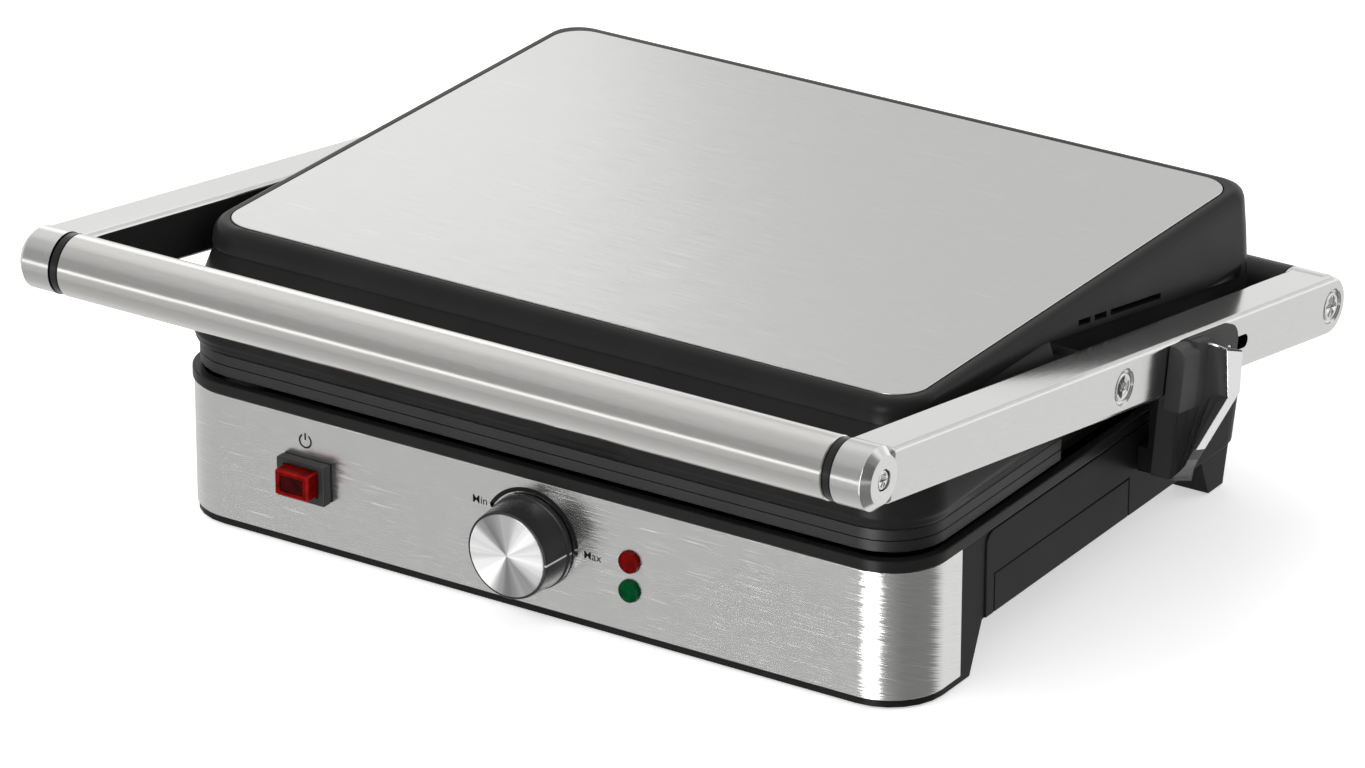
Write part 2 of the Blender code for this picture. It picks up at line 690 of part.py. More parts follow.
def panel_outline(grow):
    """The side panel's (y, z) outline, with rounded top corners."""
    low, front, rear, top = ARCH_Z - grow, PANEL_FRONT - grow, PANEL_REAR + grow, PANEL_TOP + grow
    radius = PANEL_RADIUS + grow
    points = [(front, low), (rear, low)]
    points += arc_points((rear - radius, top - radius), radius, 0, 90, CORNER_STEPS)
    points += arc_points((front + radius, top - radius), radius, 90, 180, CORNER_STEPS)
    return points


def band_outline(depth, outer_inset, inner_inset):
    """A C-shaped outline that wraps the front and both front corners."""
    def half(inset):
        edge = BAND_HALF - inset
        radius = BAND_RADIUS - inset
        centre = (BAND_HALF - BAND_RADIUS, BAND_RADIUS)
        return [(edge, depth)] + arc_points(centre, radius, 0, -90, CORNER_STEPS + 2)

    def whole(inset):
        right = half(inset)
        return right + [(-x, y) for x, y in reversed(right)]

    return whole(outer_inset) + list(reversed(whole(inner_inset)))


def build_steel_band():
    """Brushed steel sheet round the front, pierced for the controls."""
    sheet = slab_mesh("steel_band", [band_outline(BAND_DEPTH, 0, BAND_SHEET)], BAND_BOTTOM, BAND_TOP)
    return add_piece("steel_band", sheet, "base", "brushed_steel")


def pierce_front(pieces):
    """Holes for the shaft, the switch and the lamps, through band and housing wall alike."""
    back = BASE_WALL + OVERRUN
    holes = [("cut_shaft_hole", rod_mesh("cut_shaft_hole", SHAFT_RADIUS + RUN_GAP, -OVERRUN, back, "Y"),
              (0, 0, KNOB_Z))]
    for name, z in (("cut_red_hole", LAMP_Z_RED), ("cut_green_hole", LAMP_Z_GREEN)):
        holes.append((name, rod_mesh(name, LAMP_RADIUS + GAP, -OVERRUN, back, "Y"), (LAMP_X, 0, z)))
    half_x = SWITCH_WIDTH / 2 - SWITCH_LEDGE + GAP
    half_z = SWITCH_HEIGHT / 2 - SWITCH_LEDGE / 2 + GAP
    deep = BASE_WALL + SWITCH_DEPTH + GAP
    holes.append(("cut_switch_hole", box_mesh(
        "cut_switch_hole", (-half_x, -OVERRUN, -half_z), (half_x, deep, half_z)), (SWITCH_X, 0, SWITCH_Z)))
    for name, mesh, place in holes:
        tool = add_tool(name, mesh, "base", place)
        for piece in pieces:
            cut(piece, tool)


def build_side_panels():
    """Satin side panels; the right one frames the drip tray."""
    for side_name, sign in (("left", -1), ("right", 1)):
        name = "side_panel_" + side_name
        low, high = sorted((sign * (PANEL_OUT - PANEL_SHEET), sign * PANEL_OUT))
        panel = add_piece(name, slab_mesh(name, [panel_outline(0)], low, high, "X"), "base", "black_plastic")
        if side_name == "right":
            opening = box_mesh("cut_tray_mouth", (low - OVERRUN, TRAY_FRONT - GAP, ARCH_Z - OVERRUN),
                               (high + OVERRUN, TRAY_REAR + GAP, TRAY_TOP + GAP))
            cut(panel, add_tool("cut_tray_mouth", opening, "base"))


def build_base_rim():
    """The black ring on top of the walls, slightly proud of the band."""
    outer = rounded_outline(-BAND_HALF - RIM_PROUD, BAND_HALF + RIM_PROUD, -RIM_PROUD,
                            BASE_REAR_TOP + RIM_PROUD, BAND_RADIUS + RIM_PROUD, BASE_REAR_RADIUS + RIM_PROUD)
    inset = RIM_WIDTH - RIM_PROUD
    inner = rounded_outline(-BAND_HALF + inset, BAND_HALF - inset, inset, BASE_REAR_TOP - inset,
                            BAND_RADIUS - inset, BASE_REAR_RADIUS - inset)
    add_piece("base_rim", slab_mesh("base_rim", [outer, inner], RIM_BOTTOM, RIM_TOP), "base", "black_plastic")


def plate_outline():
    """A grill plate's flange: wide at the front, drawn in beside the arms."""
    half = BAND_HALF - PLATE_INSET
    step = half - PLATE_NARROW
    right = arc_points((half - BAND_RADIUS, PLATE_INSET + BAND_RADIUS), BAND_RADIUS, -90, 0, CORNER_STEPS)
    right += [(half, PLATE_STEP_Y), (PLATE_NARROW, PLATE_STEP_Y + step)]
    right += arc_points((PLATE_NARROW - PLATE_REAR_RADIUS, PLATE_REAR - PLATE_REAR_RADIUS),
                        PLATE_REAR_RADIUS, 0, 90, CORNER_STEPS)
    return right + [(-x, y) for x, y in reversed(right)]


def rib_profile(floor, crest, outward):
    """The (x, z) outline of the ribbed field, with one tooth for each rib."""
    sunk = floor + outward / 2
    foot = RIB_FOOT / 2 + (RIB_FOOT - RIB_CREST) / 2 * abs(outward / 2 / (crest - floor))
    half = (RIB_COUNT - 1) / 2 * RIB_PITCH + foot
    points = [(-half, floor + outward), (half, floor + outward)]
    for index in reversed(range(RIB_COUNT)):
        middle = (index - (RIB_COUNT - 1) / 2) * RIB_PITCH
        points += [(middle + foot, sunk), (middle + RIB_CREST / 2, crest),
                   (middle - RIB_CREST / 2, crest), (middle - foot, sunk)]
    return points


def build_grill_plate(name, body, flange_low, flange_high, floor, crest, back_low, back_high, back_half):
    """A cast plate: flange, ribbed basin and a block behind it that fits the housing."""
    plate = add_piece(name, slab_mesh(name, [plate_outline()], flange_low, flange_high), body, "coated_plate")
    block = rounded_outline(-back_half, back_half, BASIN_FRONT - PLATE_WALL, BASIN_REAR + PLATE_WALL,
                            BASIN_RADIUS)
    block_mesh = slab_mesh("join_block_" + name, [block], back_low, back_high)
    join(plate, add_tool("join_block_" + name, block_mesh, body))
    mouth_low, mouth_high = sorted((floor, PART_Z + (OVERRUN if floor < PART_Z else -OVERRUN)))
    basin = rounded_outline(-BASIN_HALF, BASIN_HALF, BASIN_FRONT, BASIN_REAR, BASIN_RADIUS)
    basin_mesh = slab_mesh("cut_basin_" + name, [basin], mouth_low, mouth_high)
    cut(plate, add_tool("cut_basin_" + name, basin_mesh, body))
    root = PLATE_WALL / 2 * (-1 if crest > floor else 1)
    ribs = slab_mesh("join_ribs_" + name, [rib_profile(floor, crest, root)],
                     BASIN_FRONT + CHANNEL, BASIN_REAR - CHANNEL, "Y")
    join(plate, add_tool("join_ribs_" + name, ribs, body))
    return plate


def build_grill_plates():
    """Lower and upper plates, with the drain hole over the drip tray."""
    floor = PART_Z - GAP / 2 - BASIN_DEPTH
    lower_top = PART_Z - GAP / 2
    lower = build_grill_plate("lower_grill_plate", "base", lower_top - PLATE_FLANGE, lower_top, floor,
                              floor + RIB_HEIGHT, lower_top - BASIN_DEPTH - PLATE_WALL,
                              lower_top - PLATE_FLANGE / 2, PLATE_NARROW - PLATE_INSET)
    drain = rod_mesh("cut_drain", DRAIN_RADIUS, floor - SKIRT_DEPTH, floor + SKIRT_DEPTH, "Z")
    cut(lower, add_tool("cut_drain", drain, "base", (BASIN_HALF - CHANNEL / 2, DRAIN_Y, 0)))
    upper_low = PART_Z + GAP / 2
    roof = upper_low + BASIN_DEPTH
    build_grill_plate("upper_grill_plate", "cover", upper_low, COVER_BOTTOM - GAP, roof, roof - RIB_HEIGHT,
                      COVER_BOTTOM - GAP - PLATE_WALL / 2, roof + PLATE_WALL, CAVITY_HALF - GAP)


def heater_path(z):
    """A serpentine of three loops that lies under the ribs."""
    half = BASIN_HALF * HEATER_REACH_SHARE
    front = BASIN_FRONT + CHANNEL * 2
    rear = BASIN_REAR - CHANNEL * 2
    lanes = 4
    pitch = 2 * half / (lanes - 1)
    points = []
    for lane in range(lanes):
        x = -half + lane * pitch
        radius = pitch / 2
        if lane in (0, lanes - 1):
            points.append((x, front, z))
        if lane == lanes - 1:
            continue
        centre = (x + radius, rear - radius if lane % 2 == 0 else front + radius)
        end = 0 if lane % 2 == 0 else 360
        points += [(px, py, z) for px, py in arc_points(centre, radius, 180, end, CORNER_STEPS)]
    return points


def build_heater(name, body, z):
    """A sheathed element bent from one tube."""
    curve = bpy.data.curves.new(name, "CURVE")
    curve.dimensions = "3D"
    curve.bevel_depth = HEATER_RADIUS
    curve.bevel_resolution = 2
    curve.render_resolution_u = 0
    curve.use_fill_caps = True
    spline = curve.splines.new("POLY")
    places = heater_path(z)
    spline.points.add(len(places) - 1)
    for point, place in zip(spline.points, places):
        point.co = (*place, 1)
    holder = bpy.data.objects.new(name, curve)
    TOOLS.objects.link(holder)
    graph = bpy.context.evaluated_depsgraph_get()
    mesh = bpy.data.meshes.new_from_object(holder.evaluated_get(graph))
    bpy.data.objects.remove(holder, do_unlink=True)
    solid = bmesh.new()
    solid.from_mesh(mesh)
    bmesh.ops.remove_doubles(solid, verts=solid.verts, dist=WELD)
    turn_outward(solid)
    solid.to_mesh(mesh)
    solid.free()
    add_piece(name, mesh, body, "heater_steel")


def build_heaters_and_shields():
    """Elements against the plates, and reflector sheets behind them."""
    low_back = PART_Z - GAP / 2 - BASIN_DEPTH - PLATE_WALL
    build_heater("lower_heater", "base", low_back - GAP - HEATER_RADIUS)
    high_back = PART_Z + GAP / 2 + BASIN_DEPTH + PLATE_WALL
    build_heater("upper_heater", "cover", high_back + GAP + HEATER_RADIUS)
    top = low_back - 2 * GAP - 2 * HEATER_RADIUS
    inset = BASE_WALL + GAP
    rear = rear_wall_y(top - SHIELD_SHEET) - inset
    outline = rounded_outline(-BAND_HALF + inset, BAND_HALF - inset, inset, rear,
                              BAND_RADIUS - inset, BASE_REAR_RADIUS - inset)
    mouth = hole_outline((BASIN_HALF - CHANNEL / 2, DRAIN_Y), DRAIN_RADIUS * 2)
    add_piece("lower_heat_shield", slab_mesh("lower_heat_shield", [outline, mouth], top - SHIELD_SHEET, top),
              "base", "aluminium")
    bottom = high_back + 2 * GAP + 2 * HEATER_RADIUS
    outline = rounded_outline(-CAVITY_HALF + GAP, CAVITY_HALF - GAP, CAVITY_FRONT + GAP, CAVITY_REAR - GAP,
                              BASIN_RADIUS)
    add_piece("upper_heat_shield", slab_mesh("upper_heat_shield", [outline], bottom, bottom + SHIELD_SHEET),
              "cover", "aluminium")


def build_drip_tray():
    """A shallow drawer that slides out of the right side."""
    tray = add_piece("drip_tray", box_mesh("drip_tray", (TRAY_IN, TRAY_FRONT, ARCH_Z),
                                           (PANEL_OUT, TRAY_REAR, TRAY_TOP)), "tray", "black_plastic")
    inside = rounded_outline(TRAY_IN + TRAY_WALL, PANEL_OUT - TRAY_WALL, TRAY_FRONT + TRAY_WALL,
                             TRAY_REAR - TRAY_WALL, TRAY_RADIUS, TRAY_RADIUS, 3)
    cut(tray, add_tool("cut_tray_inside", slab_mesh(
        "cut_tray_inside", [inside], ARCH_Z + TRAY_WALL, TRAY_TOP + OVERRUN), "tray"))


def screw_places():
    """Where the bottom cover's four screws stand."""
    side = BOTTOM_HALF - SCREW_MARGIN
    beside_tray = TRAY_IN - SCREW_MARGIN
    for row, left, right, y in (("front", -side, beside_tray, BOTTOM_FRONT + SCREW_MARGIN),
                                ("rear", -side, side, BOTTOM_REAR - SCREW_MARGIN)):
        yield row + "_left", left, y
        yield row + "_right", right, y


def build_bottom(housing):
    """Vented bottom cover with its screws, and the rubber feet."""
    loops = [rounded_outline(-BOTTOM_HALF, BOTTOM_HALF, BOTTOM_FRONT, BOTTOM_REAR, TRAY_RADIUS, TRAY_RADIUS, 3)]
    front = (BOTTOM_FRONT + BOTTOM_REAR - VENT_LENGTH) / 2
    rear = front + VENT_LENGTH
    for index in range(VENT_COUNT):
        left = -BOTTOM_HALF / 2 + (index - (VENT_COUNT - 1) / 2) * VENT_PITCH - VENT_WIDTH / 2
        right = left + VENT_WIDTH
        loops.append([(left, front), (left, rear), (right, rear), (right, front)])
    for name, x, y in screw_places():
        loops.append(hole_outline((x, y), SCREW_RADIUS + GAP))
    top = ARCH_Z - GAP
    add_piece("bottom_cover", slab_mesh("bottom_cover", loops, top - COVER_SHEET, top), "base", "dark_plastic")
    for name, x, y in screw_places():
        head_top = top - COVER_SHEET - GAP
        profile = ((0, ARCH_Z + SCREW_REACH), (SCREW_RADIUS, ARCH_Z + SCREW_REACH), (SCREW_RADIUS, head_top),
                   (SCREW_HEAD, head_top), (SCREW_HEAD, head_top - SCREW_HEAD_HEIGHT),
                   (0, head_top - SCREW_HEAD_HEIGHT))
        add_piece("bottom_screw_" + name, turned_mesh("bottom_screw_" + name, profile, "Z", SMALL_STEPS),
                  "base", "screw_steel", (x, y, 0))
        depth = ARCH_Z + SCREW_REACH + GAP
        hole = rod_mesh("cut_screw_" + name, SCREW_RADIUS + GAP, ARCH_Z - OVERRUN, depth, "Z")
        cut(housing, add_tool("cut_screw_" + name, hole, "base", (x, y, 0)))
    build_feet(housing)


def build_feet(housing):
    """Rubber pads let into the plinth and the rear feet, and the rear rests."""
    rear_x = (REAR_FOOT_IN + REAR_FOOT_OUT) / 2
    rear_y = (ARCH_REAR + ARCH_SLANT + BASE_REAR_LOW) / 2
    for row, x, y, radius in (("front", FRONT_FOOT_X, FRONT_FOOT_Y, FRONT_FOOT_RADIUS),
                              ("rear", rear_x, rear_y, REAR_FOOT_RADIUS)):
        for side_name, sign in (("left", -1), ("right", 1)):
            name = "foot_" + row + "_" + side_name
            add_piece(name, rod_mesh(name, radius, 0, FOOT_HEIGHT, "Z", ROUND_STEPS), "base", "rubber",
                      (sign * x, y, 0))
            pocket = rod_mesh("cut_" + name, radius + GAP, -OVERRUN, FOOT_HEIGHT + GAP, "Z", ROUND_STEPS)
            cut(housing, add_tool("cut_" + name, pocket, "base", (sign * x, y, 0)))
    for side_name, sign in (("left", -1), ("right", 1)):
        name = "rear_rest_" + side_name
        wall_low = rear_wall_y(REST_BOTTOM) + GAP
        wall_high = rear_wall_y(REST_TOP) + GAP
        outline = [(wall_low, REST_BOTTOM), (wall_low + REST_PROUD, REST_BOTTOM),
                   (wall_high + REST_PROUD, REST_TOP), (wall_high, REST_TOP)]
        outer = REST_OUT - BASE_REAR_RADIUS + GAP
        low, high = sorted((sign * (outer - REST_WIDTH), sign * outer))
        rest = add_piece(name, slab_mesh(name, [outline], low, high, "X"), "base", "rubber")
        soften(rest, REST_PROUD / 5, 2)


def build_controls():
    """Thermostat with knob, power switch and the two lamps."""
    behind = BASE_WALL + GAP
    body = add_piece("thermostat_body", box_mesh(
        "thermostat_body", (-THERMOSTAT_HALF, behind, KNOB_Z - SHAFT_RADIUS * 2),
        (THERMOSTAT_HALF, behind + THERMOSTAT_DEPTH, KNOB_Z + SHAFT_RADIUS * 2)), "base", "ceramic")
    bore = rod_mesh("cut_thermostat_bore", SHAFT_RADIUS + GAP, -OVERRUN, behind + THERMOSTAT_DEPTH / 2, "Y")
    cut(body, add_tool("cut_thermostat_bore", bore, "base", (0, 0, KNOB_Z)))
    shaft_end = behind + THERMOSTAT_DEPTH / 2 - GAP
    hub_back = -(KNOB_FACE - KNOB_DISC_SHEET) / 2
    shaft = rod_mesh("thermostat_shaft", SHAFT_RADIUS, hub_back, shaft_end, "Y", ROUND_STEPS)
    add_piece("thermostat_shaft", shaft, "knob", "screw_steel", (0, 0, KNOB_Z))
    build_knob(hub_back)
    build_switch()
    for name, z, finish in (("lamp_red", LAMP_Z_RED, "red_lens"), ("lamp_green", LAMP_Z_GREEN, "green_lens")):
        lens = [(0, LAMP_PROUD), (LAMP_RADIUS - LAMP_EDGE, LAMP_PROUD), (LAMP_RADIUS, LAMP_PROUD - LAMP_EDGE),
                (LAMP_RADIUS, -LAMP_DEPTH), (0, -LAMP_DEPTH)]
        add_piece(name, turned_mesh(name, lens, "Y", ROUND_STEPS), "base", finish, (LAMP_X, 0, z))


def build_knob(hub_back):
    """A tapered grip with a flared skirt and a spun metal face."""
    face = KNOB_FACE - KNOB_DISC_SHEET
    profile = [(0, face), (KNOB_DISC_RADIUS + GAP, face), (KNOB_DISC_RADIUS + GAP, KNOB_FACE - GAP),
               (KNOB_NOSE_RADIUS - GAP, KNOB_FACE - GAP), (KNOB_NOSE_RADIUS, KNOB_FACE - 2 * GAP),
               (KNOB_RADIUS - GAP, KNOB_SKIRT + GAP), (KNOB_RADIUS, KNOB_SKIRT), (KNOB_RADIUS, RUN_GAP),
               (0, RUN_GAP)]
    grip = add_piece("knob_grip", turned_mesh("knob_grip", profile, "Y", 2 * ROUND_STEPS), "knob",
                     "black_plastic", (0, 0, KNOB_Z))
    socket = rod_mesh("cut_knob_socket", SHAFT_RADIUS + GAP / 2, hub_back - GAP, OVERRUN, "Y", ROUND_STEPS)
    cut(grip, add_tool("cut_knob_socket", socket, "knob", (0, 0, KNOB_Z)))
    disc = [(0, KNOB_FACE), (KNOB_DISC_RADIUS - GAP, KNOB_FACE), (KNOB_DISC_RADIUS, KNOB_FACE - GAP),
            (KNOB_DISC_RADIUS, face + GAP), (0, face + GAP)]
    add_piece("knob_disc", turned_mesh("knob_disc", disc, "Y", 2 * ROUND_STEPS), "knob", "aluminium",
              (0, 0, KNOB_Z))


def build_switch():
    """A square-edged bezel block, the push button that stands in it, and the switch behind."""
    place = (SWITCH_X, 0, SWITCH_Z)
    half_w, half_h = SWITCH_WIDTH / 2, SWITCH_HEIGHT / 2
    block = box_mesh("switch_bezel", (-half_w, -SWITCH_PROUD, -half_h), (half_w, -GAP, half_h))
    bezel = add_piece("switch_bezel", block, "base", "black_plastic", place)
    neck_x = half_w - SWITCH_LEDGE
    neck_z = half_h - SWITCH_LEDGE / 2
    neck = box_mesh("join_switch_neck", (-neck_x, -SWITCH_PROUD / 2, -neck_z),
                    (neck_x, BASE_WALL + SWITCH_DEPTH, neck_z))
    join(bezel, add_tool("join_switch_neck", neck, "base", place))
    well_x = BUTTON_WIDTH / 2 + GAP
    well_z = BUTTON_HEIGHT / 2 + GAP
    well_back = BASE_WALL + SWITCH_DEPTH - SWITCH_WALL
    lifted = (SWITCH_X, 0, SWITCH_Z + BUTTON_LIFT)
    well = box_mesh("cut_switch_well", (-well_x, -SWITCH_PROUD - OVERRUN, -well_z), (well_x, well_back, well_z))
    cut(bezel, add_tool("cut_switch_well", well, "base", lifted))
    button = add_piece("power_button", box_mesh(
        "power_button", (-BUTTON_WIDTH / 2, -SWITCH_PROUD - BUTTON_REACH, -BUTTON_HEIGHT / 2),
        (BUTTON_WIDTH / 2, well_back - BUTTON_TRAVEL - GAP, BUTTON_HEIGHT / 2)), "button", "red_lens", lifted)
    soften(button, GAP * 3, 2)


def build_rear():
    """Hinge barrel with its lugs, cord inlet and terminal block."""
    barrel = add_piece("hinge_barrel", rod_mesh("hinge_barrel", BARREL_RADIUS, -BARREL_HALF, BARREL_HALF, "X",
                                                ROUND_STEPS), "base", "black_plastic", (0, HINGE_Y, HINGE_Z))
    bottom = HINGE_Z - LUG_DROP
    top = RIM_BOTTOM - GAP
    for side_name, sign in (("left", -1), ("right", 1)):
        name = "join_lug_" + side_name
        sunk = BARREL_RADIUS * LUG_SHARE
        outline = [(rear_wall_y(bottom) + GAP, bottom), (HINGE_Y, HINGE_Z - sunk),
                   (HINGE_Y - sunk, HINGE_Z - GAP), (rear_wall_y(top) + RIM_PROUD + GAP * 2, top + GAP),
                   (rear_wall_y(top) + GAP, top)]
        low, high = sorted((sign * (LUG_X - LUG_WIDTH / 2), sign * (LUG_X + LUG_WIDTH / 2)))
        join(barrel, add_tool(name, slab_mesh(name, [outline], low, high, "X"), "base"))
        low, high = sorted((sign * (BARREL_HALF - PIN_REACH), sign * (BARREL_HALF + OVERRUN)))
        name = "cut_pin_bore_" + side_name
        bore = rod_mesh(name, PIN_RADIUS + GAP, low, high, "X")
        cut(barrel, add_tool(name, bore, "base", (0, HINGE_Y, HINGE_Z)))
    return barrel


def build_inlet(housing):
    """The cord's inlet in the rear wall, and the terminal block inside."""
    outer = rear_wall_y(INLET_Z) + INLET_PROUD
    inner = outer - INLET_LENGTH
    wall = rear_wall_y(INLET_Z + INLET_FLANGE_RADIUS) + GAP
    profile = [(INLET_BORE, inner), (INLET_RADIUS, inner), (INLET_RADIUS, wall),
               (INLET_FLANGE_RADIUS, wall), (INLET_FLANGE_RADIUS, outer), (INLET_BORE, outer)]
    mesh = ring_mesh("cord_inlet", profile, "Y")
    add_piece("cord_inlet", mesh, "base", "dark_plastic", (INLET_X, 0, INLET_Z))
    hole = rod_mesh("cut_inlet_hole", INLET_RADIUS + GAP, inner - OVERRUN, outer + OVERRUN, "Y", ROUND_STEPS)
    cut(housing, add_tool("cut_inlet_hole", hole, "base", (INLET_X, 0, INLET_Z)))
    floor = ARCH_Z + BASE_FLOOR + GAP
    block_y = inner - TERMINAL_DEPTH * 2
    add_piece("terminal_block", box_mesh(
        "terminal_block", (INLET_X - TERMINAL_SIZE / 2, block_y, floor),
        (INLET_X + TERMINAL_SIZE / 2, block_y + TERMINAL_DEPTH, floor + TERMINAL_HEIGHT)), "base", "ceramic")


def ring_mesh(name, profile, axis):
    """A closed (radius, run) profile turned about X or Y, with a bore through the middle."""
    solid = bmesh.new()
    steps = ROUND_STEPS
    rows = []
    for step in range(steps):
        angle = math.tau * step / steps
        row = []
        for radius, run in profile:
            across, up = radius * math.cos(angle), radius * math.sin(angle)
            row.append(solid.verts.new((across, run, up) if axis == "Y" else (run, across, up)))
        rows.append(row)
    count = len(profile)
    for step in range(steps):
        here, there = rows[step], rows[(step + 1) % steps]
        for index in range(count):
            after = (index + 1) % count
            solid.faces.new((here[index], there[index], there[after], here[after]))
    turn_outward(solid)
    mesh = bpy.data.meshes.new(name)
    solid.to_mesh(mesh)
    solid.free()
    return mesh


def arm_outline(inset, start, end):
    """The (y, z) outline of an arm between two runs from the hinge."""
    def half(run):
        share = run / ARM_LENGTH
        return ARM_HALF_REAR + (ARM_HALF_FRONT - ARM_HALF_REAR) * share - inset
    return [hinge_point(start, half(start)), hinge_point(end, half(end)),
            hinge_point(end, -half(end)), hinge_point(start, -half(start))]


def rounded_arm_outline():
    """The arm's side view: a long bar with a round rear end."""
    half = ARM_HALF_REAR
    rear = []
    for step in range(CORNER_STEPS * 2 + 1):
        angle = math.pi / 2 + math.pi * step / (CORNER_STEPS * 2)
        rear.append(hinge_point(half * math.cos(angle), half * math.sin(angle)))
    front = ARM_LENGTH
    return rear + [hinge_point(front, -ARM_HALF_FRONT), hinge_point(front, ARM_HALF_FRONT)]


def build_arm(side_name, sign):
    """A steel arm: a channel closed by a black liner, with its cap and hinge eye."""
    name = "arm_" + side_name
    low, high = sorted((sign * ARM_IN, sign * ARM_OUT))
    bar = slab_mesh(name, [rounded_arm_outline()], low, high, "X")
    arm = add_piece(name, bar, "lid_frame", "brushed_steel")
    soften(arm, ARM_EDGE, 2, 60)
    gap_in = ARM_IN + RING_SHEET + 2 * GAP
    clear_low, clear_high = sorted((sign * (ARM_IN - OVERRUN), sign * gap_in))
    clear = rod_mesh("cut_ring_room_" + side_name, HANDLE_RADIUS + GAP, clear_low, clear_high, "X", ROUND_STEPS)
    cut(arm, add_tool("cut_ring_room_" + side_name, clear, "lid_frame", (0, HANDLE_Y, HANDLE_Z)))
    cap_in = gap_in + GAP
    cap = turned_mesh("join_cap_" + side_name, cap_profile(cap_in, sign), "X", ROUND_STEPS)
    join(arm, add_tool("join_cap_" + side_name, cap, "lid_frame", (0, HANDLE_Y, HANDLE_Z)))
    eye_low, eye_high = sorted((sign * (ARM_IN + GAP / 2), sign * (ARM_OUT - ARM_EDGE * 2)))
    eye = rod_mesh("join_eye_" + side_name, BARREL_RADIUS - GAP / 2, eye_low, eye_high, "X", ROUND_STEPS)
    join(arm, add_tool("join_eye_" + side_name, eye, "lid_frame", (0, HINGE_Y, HINGE_Z)))
    build_arm_screws(arm, side_name, sign)
    pocket_low, pocket_high = sorted((sign * (ARM_IN - OVERRUN), sign * (ARM_OUT - ARM_SHEET)))
    room = arm_outline(ARM_SHEET, ARM_SOLID_REAR, ARM_LENGTH - ARM_SOLID_FRONT)
    pocket = slab_mesh("cut_pocket_" + side_name, [room], pocket_low, pocket_high, "X")
    cut(arm, add_tool("cut_pocket_" + side_name, pocket, "lid_frame"))
    build_liner(side_name, sign)
    return arm


def cap_profile(cap_in, sign):
    """The round end cap's (radius, x) profile, chamfered to the outer face."""
    profile = [(0, ARM_OUT), (HANDLE_RADIUS - CAP_CHAMFER, ARM_OUT), (HANDLE_RADIUS, ARM_OUT - CAP_CHAMFER),
               (HANDLE_RADIUS, cap_in), (0, cap_in)]
    if sign > 0:
        return profile
    return [(radius, -x) for radius, x in reversed(profile)]


def build_liner(side_name, sign):
    """The black insert that closes an arm's channel on the inside."""
    name = "arm_liner_" + side_name
    low, high = sorted((sign * (ARM_IN + GAP), sign * (ARM_IN + GAP + LINER_SHEET)))
    outline = arm_outline(ARM_SHEET + GAP, ARM_SOLID_REAR + GAP, ARM_LENGTH - ARM_SOLID_FRONT - GAP)
    liner = add_piece(name, slab_mesh(name, [outline], low, high, "X"), "lid_frame", "black_plastic")
    hole = rod_mesh("cut_liner_hole_" + side_name, PIVOT_RADIUS + GAP, low - OVERRUN, high + OVERRUN, "X")
    cut(liner, add_tool("cut_liner_hole_" + side_name, hole, "lid_frame", (0, PIVOT.x, PIVOT.y)))


def headed_profile(head_radius, shank_radius, head_out, shank_in, sign):
    """A countersunk screw's (radius, x) profile, head outward."""
    head_in = head_out - HEAD_HEIGHT
    profile = [(0, head_out), (head_radius, head_out), (head_radius, head_out - HEAD_HEIGHT / 2),
               (shank_radius, head_in), (shank_radius, shank_in), (0, shank_in)]
    if sign > 0:
        return profile
    return [(radius, -x) for radius, x in reversed(profile)]


def build_arm_screws(arm, side_name, sign):
    """The hinge screw, the pivot screw and the small handle screw, each in its seat."""
    boss_in = RECESS_HALF - BUSH_WALL
    screws = (
        ("hinge_screw_", HEAD_RADIUS, PIN_RADIUS, BARREL_HALF - PIN_REACH + GAP, (HINGE_Y, HINGE_Z)),
        ("pivot_screw_", HEAD_RADIUS, PIVOT_RADIUS, boss_in + GAP, (PIVOT.x, PIVOT.y)),
        ("handle_screw_", SMALL_HEAD_RADIUS, SCREW_RADIUS, ARM_OUT - CAP_SCREW_REACH, (HANDLE_Y, HANDLE_Z)),
    )
    for prefix, head, shank, inner, (y, z) in screws:
        name = prefix + side_name
        out = ARM_OUT - HEAD_RECESS
        screw = turned_mesh(name, headed_profile(head, shank, out, inner, sign), "X", ROUND_STEPS)
        add_piece(name, screw, "lid_frame", "screw_steel", (0, y, z))
        ring = head + (GAP if head < HEAD_RADIUS else HEAD_RING)
        floor = out - HEAD_HEIGHT / 2 - GAP
        seat = [(0, ARM_OUT + OVERRUN), (ring, ARM_OUT + OVERRUN), (ring, floor), (head, floor),
                (shank + GAP, out - HEAD_HEIGHT - GAP), (shank + GAP, inner - GAP), (0, inner - GAP)]
        if sign < 0:
            seat = [(radius, -x) for radius, x in reversed(seat)]
        seat_mesh = turned_mesh("cut_" + name, seat, "X", ROUND_STEPS)
        cut(arm, add_tool("cut_" + name, seat_mesh, "lid_frame", (0, y, z)))


def build_lid_frame():
    """Both arms, the handle tube and the rings between tube and caps."""
    arms = {}
    for side_name, sign in (("left", -1), ("right", 1)):
        arms[side_name] = build_arm(side_name, sign)
        name = "handle_ring_" + side_name
        low, high = sorted((sign * (HANDLE_HALF + GAP), sign * (HANDLE_HALF + GAP + RING_SHEET)))
        add_piece(name, rod_mesh(name, HANDLE_RADIUS - GAP, low, high, "X", ROUND_STEPS), "lid_frame",
                  "black_plastic", (0, HANDLE_Y, HANDLE_Z))
    inside = HANDLE_RADIUS - HANDLE_WALL
    profile = [(inside, -HANDLE_HALF), (HANDLE_RADIUS, -HANDLE_HALF), (HANDLE_RADIUS, HANDLE_HALF),
               (inside, HANDLE_HALF)]
    tube = ring_mesh("handle_tube", profile, "X")
    add_piece("handle_tube", tube, "lid_frame", "brushed_steel", (0, HANDLE_Y, HANDLE_Z))
    return arms


def cover_height(share):
    """A height on the cover, from a share of it."""
    return COVER_BOTTOM + (COVER_TOP - COVER_BOTTOM) * share


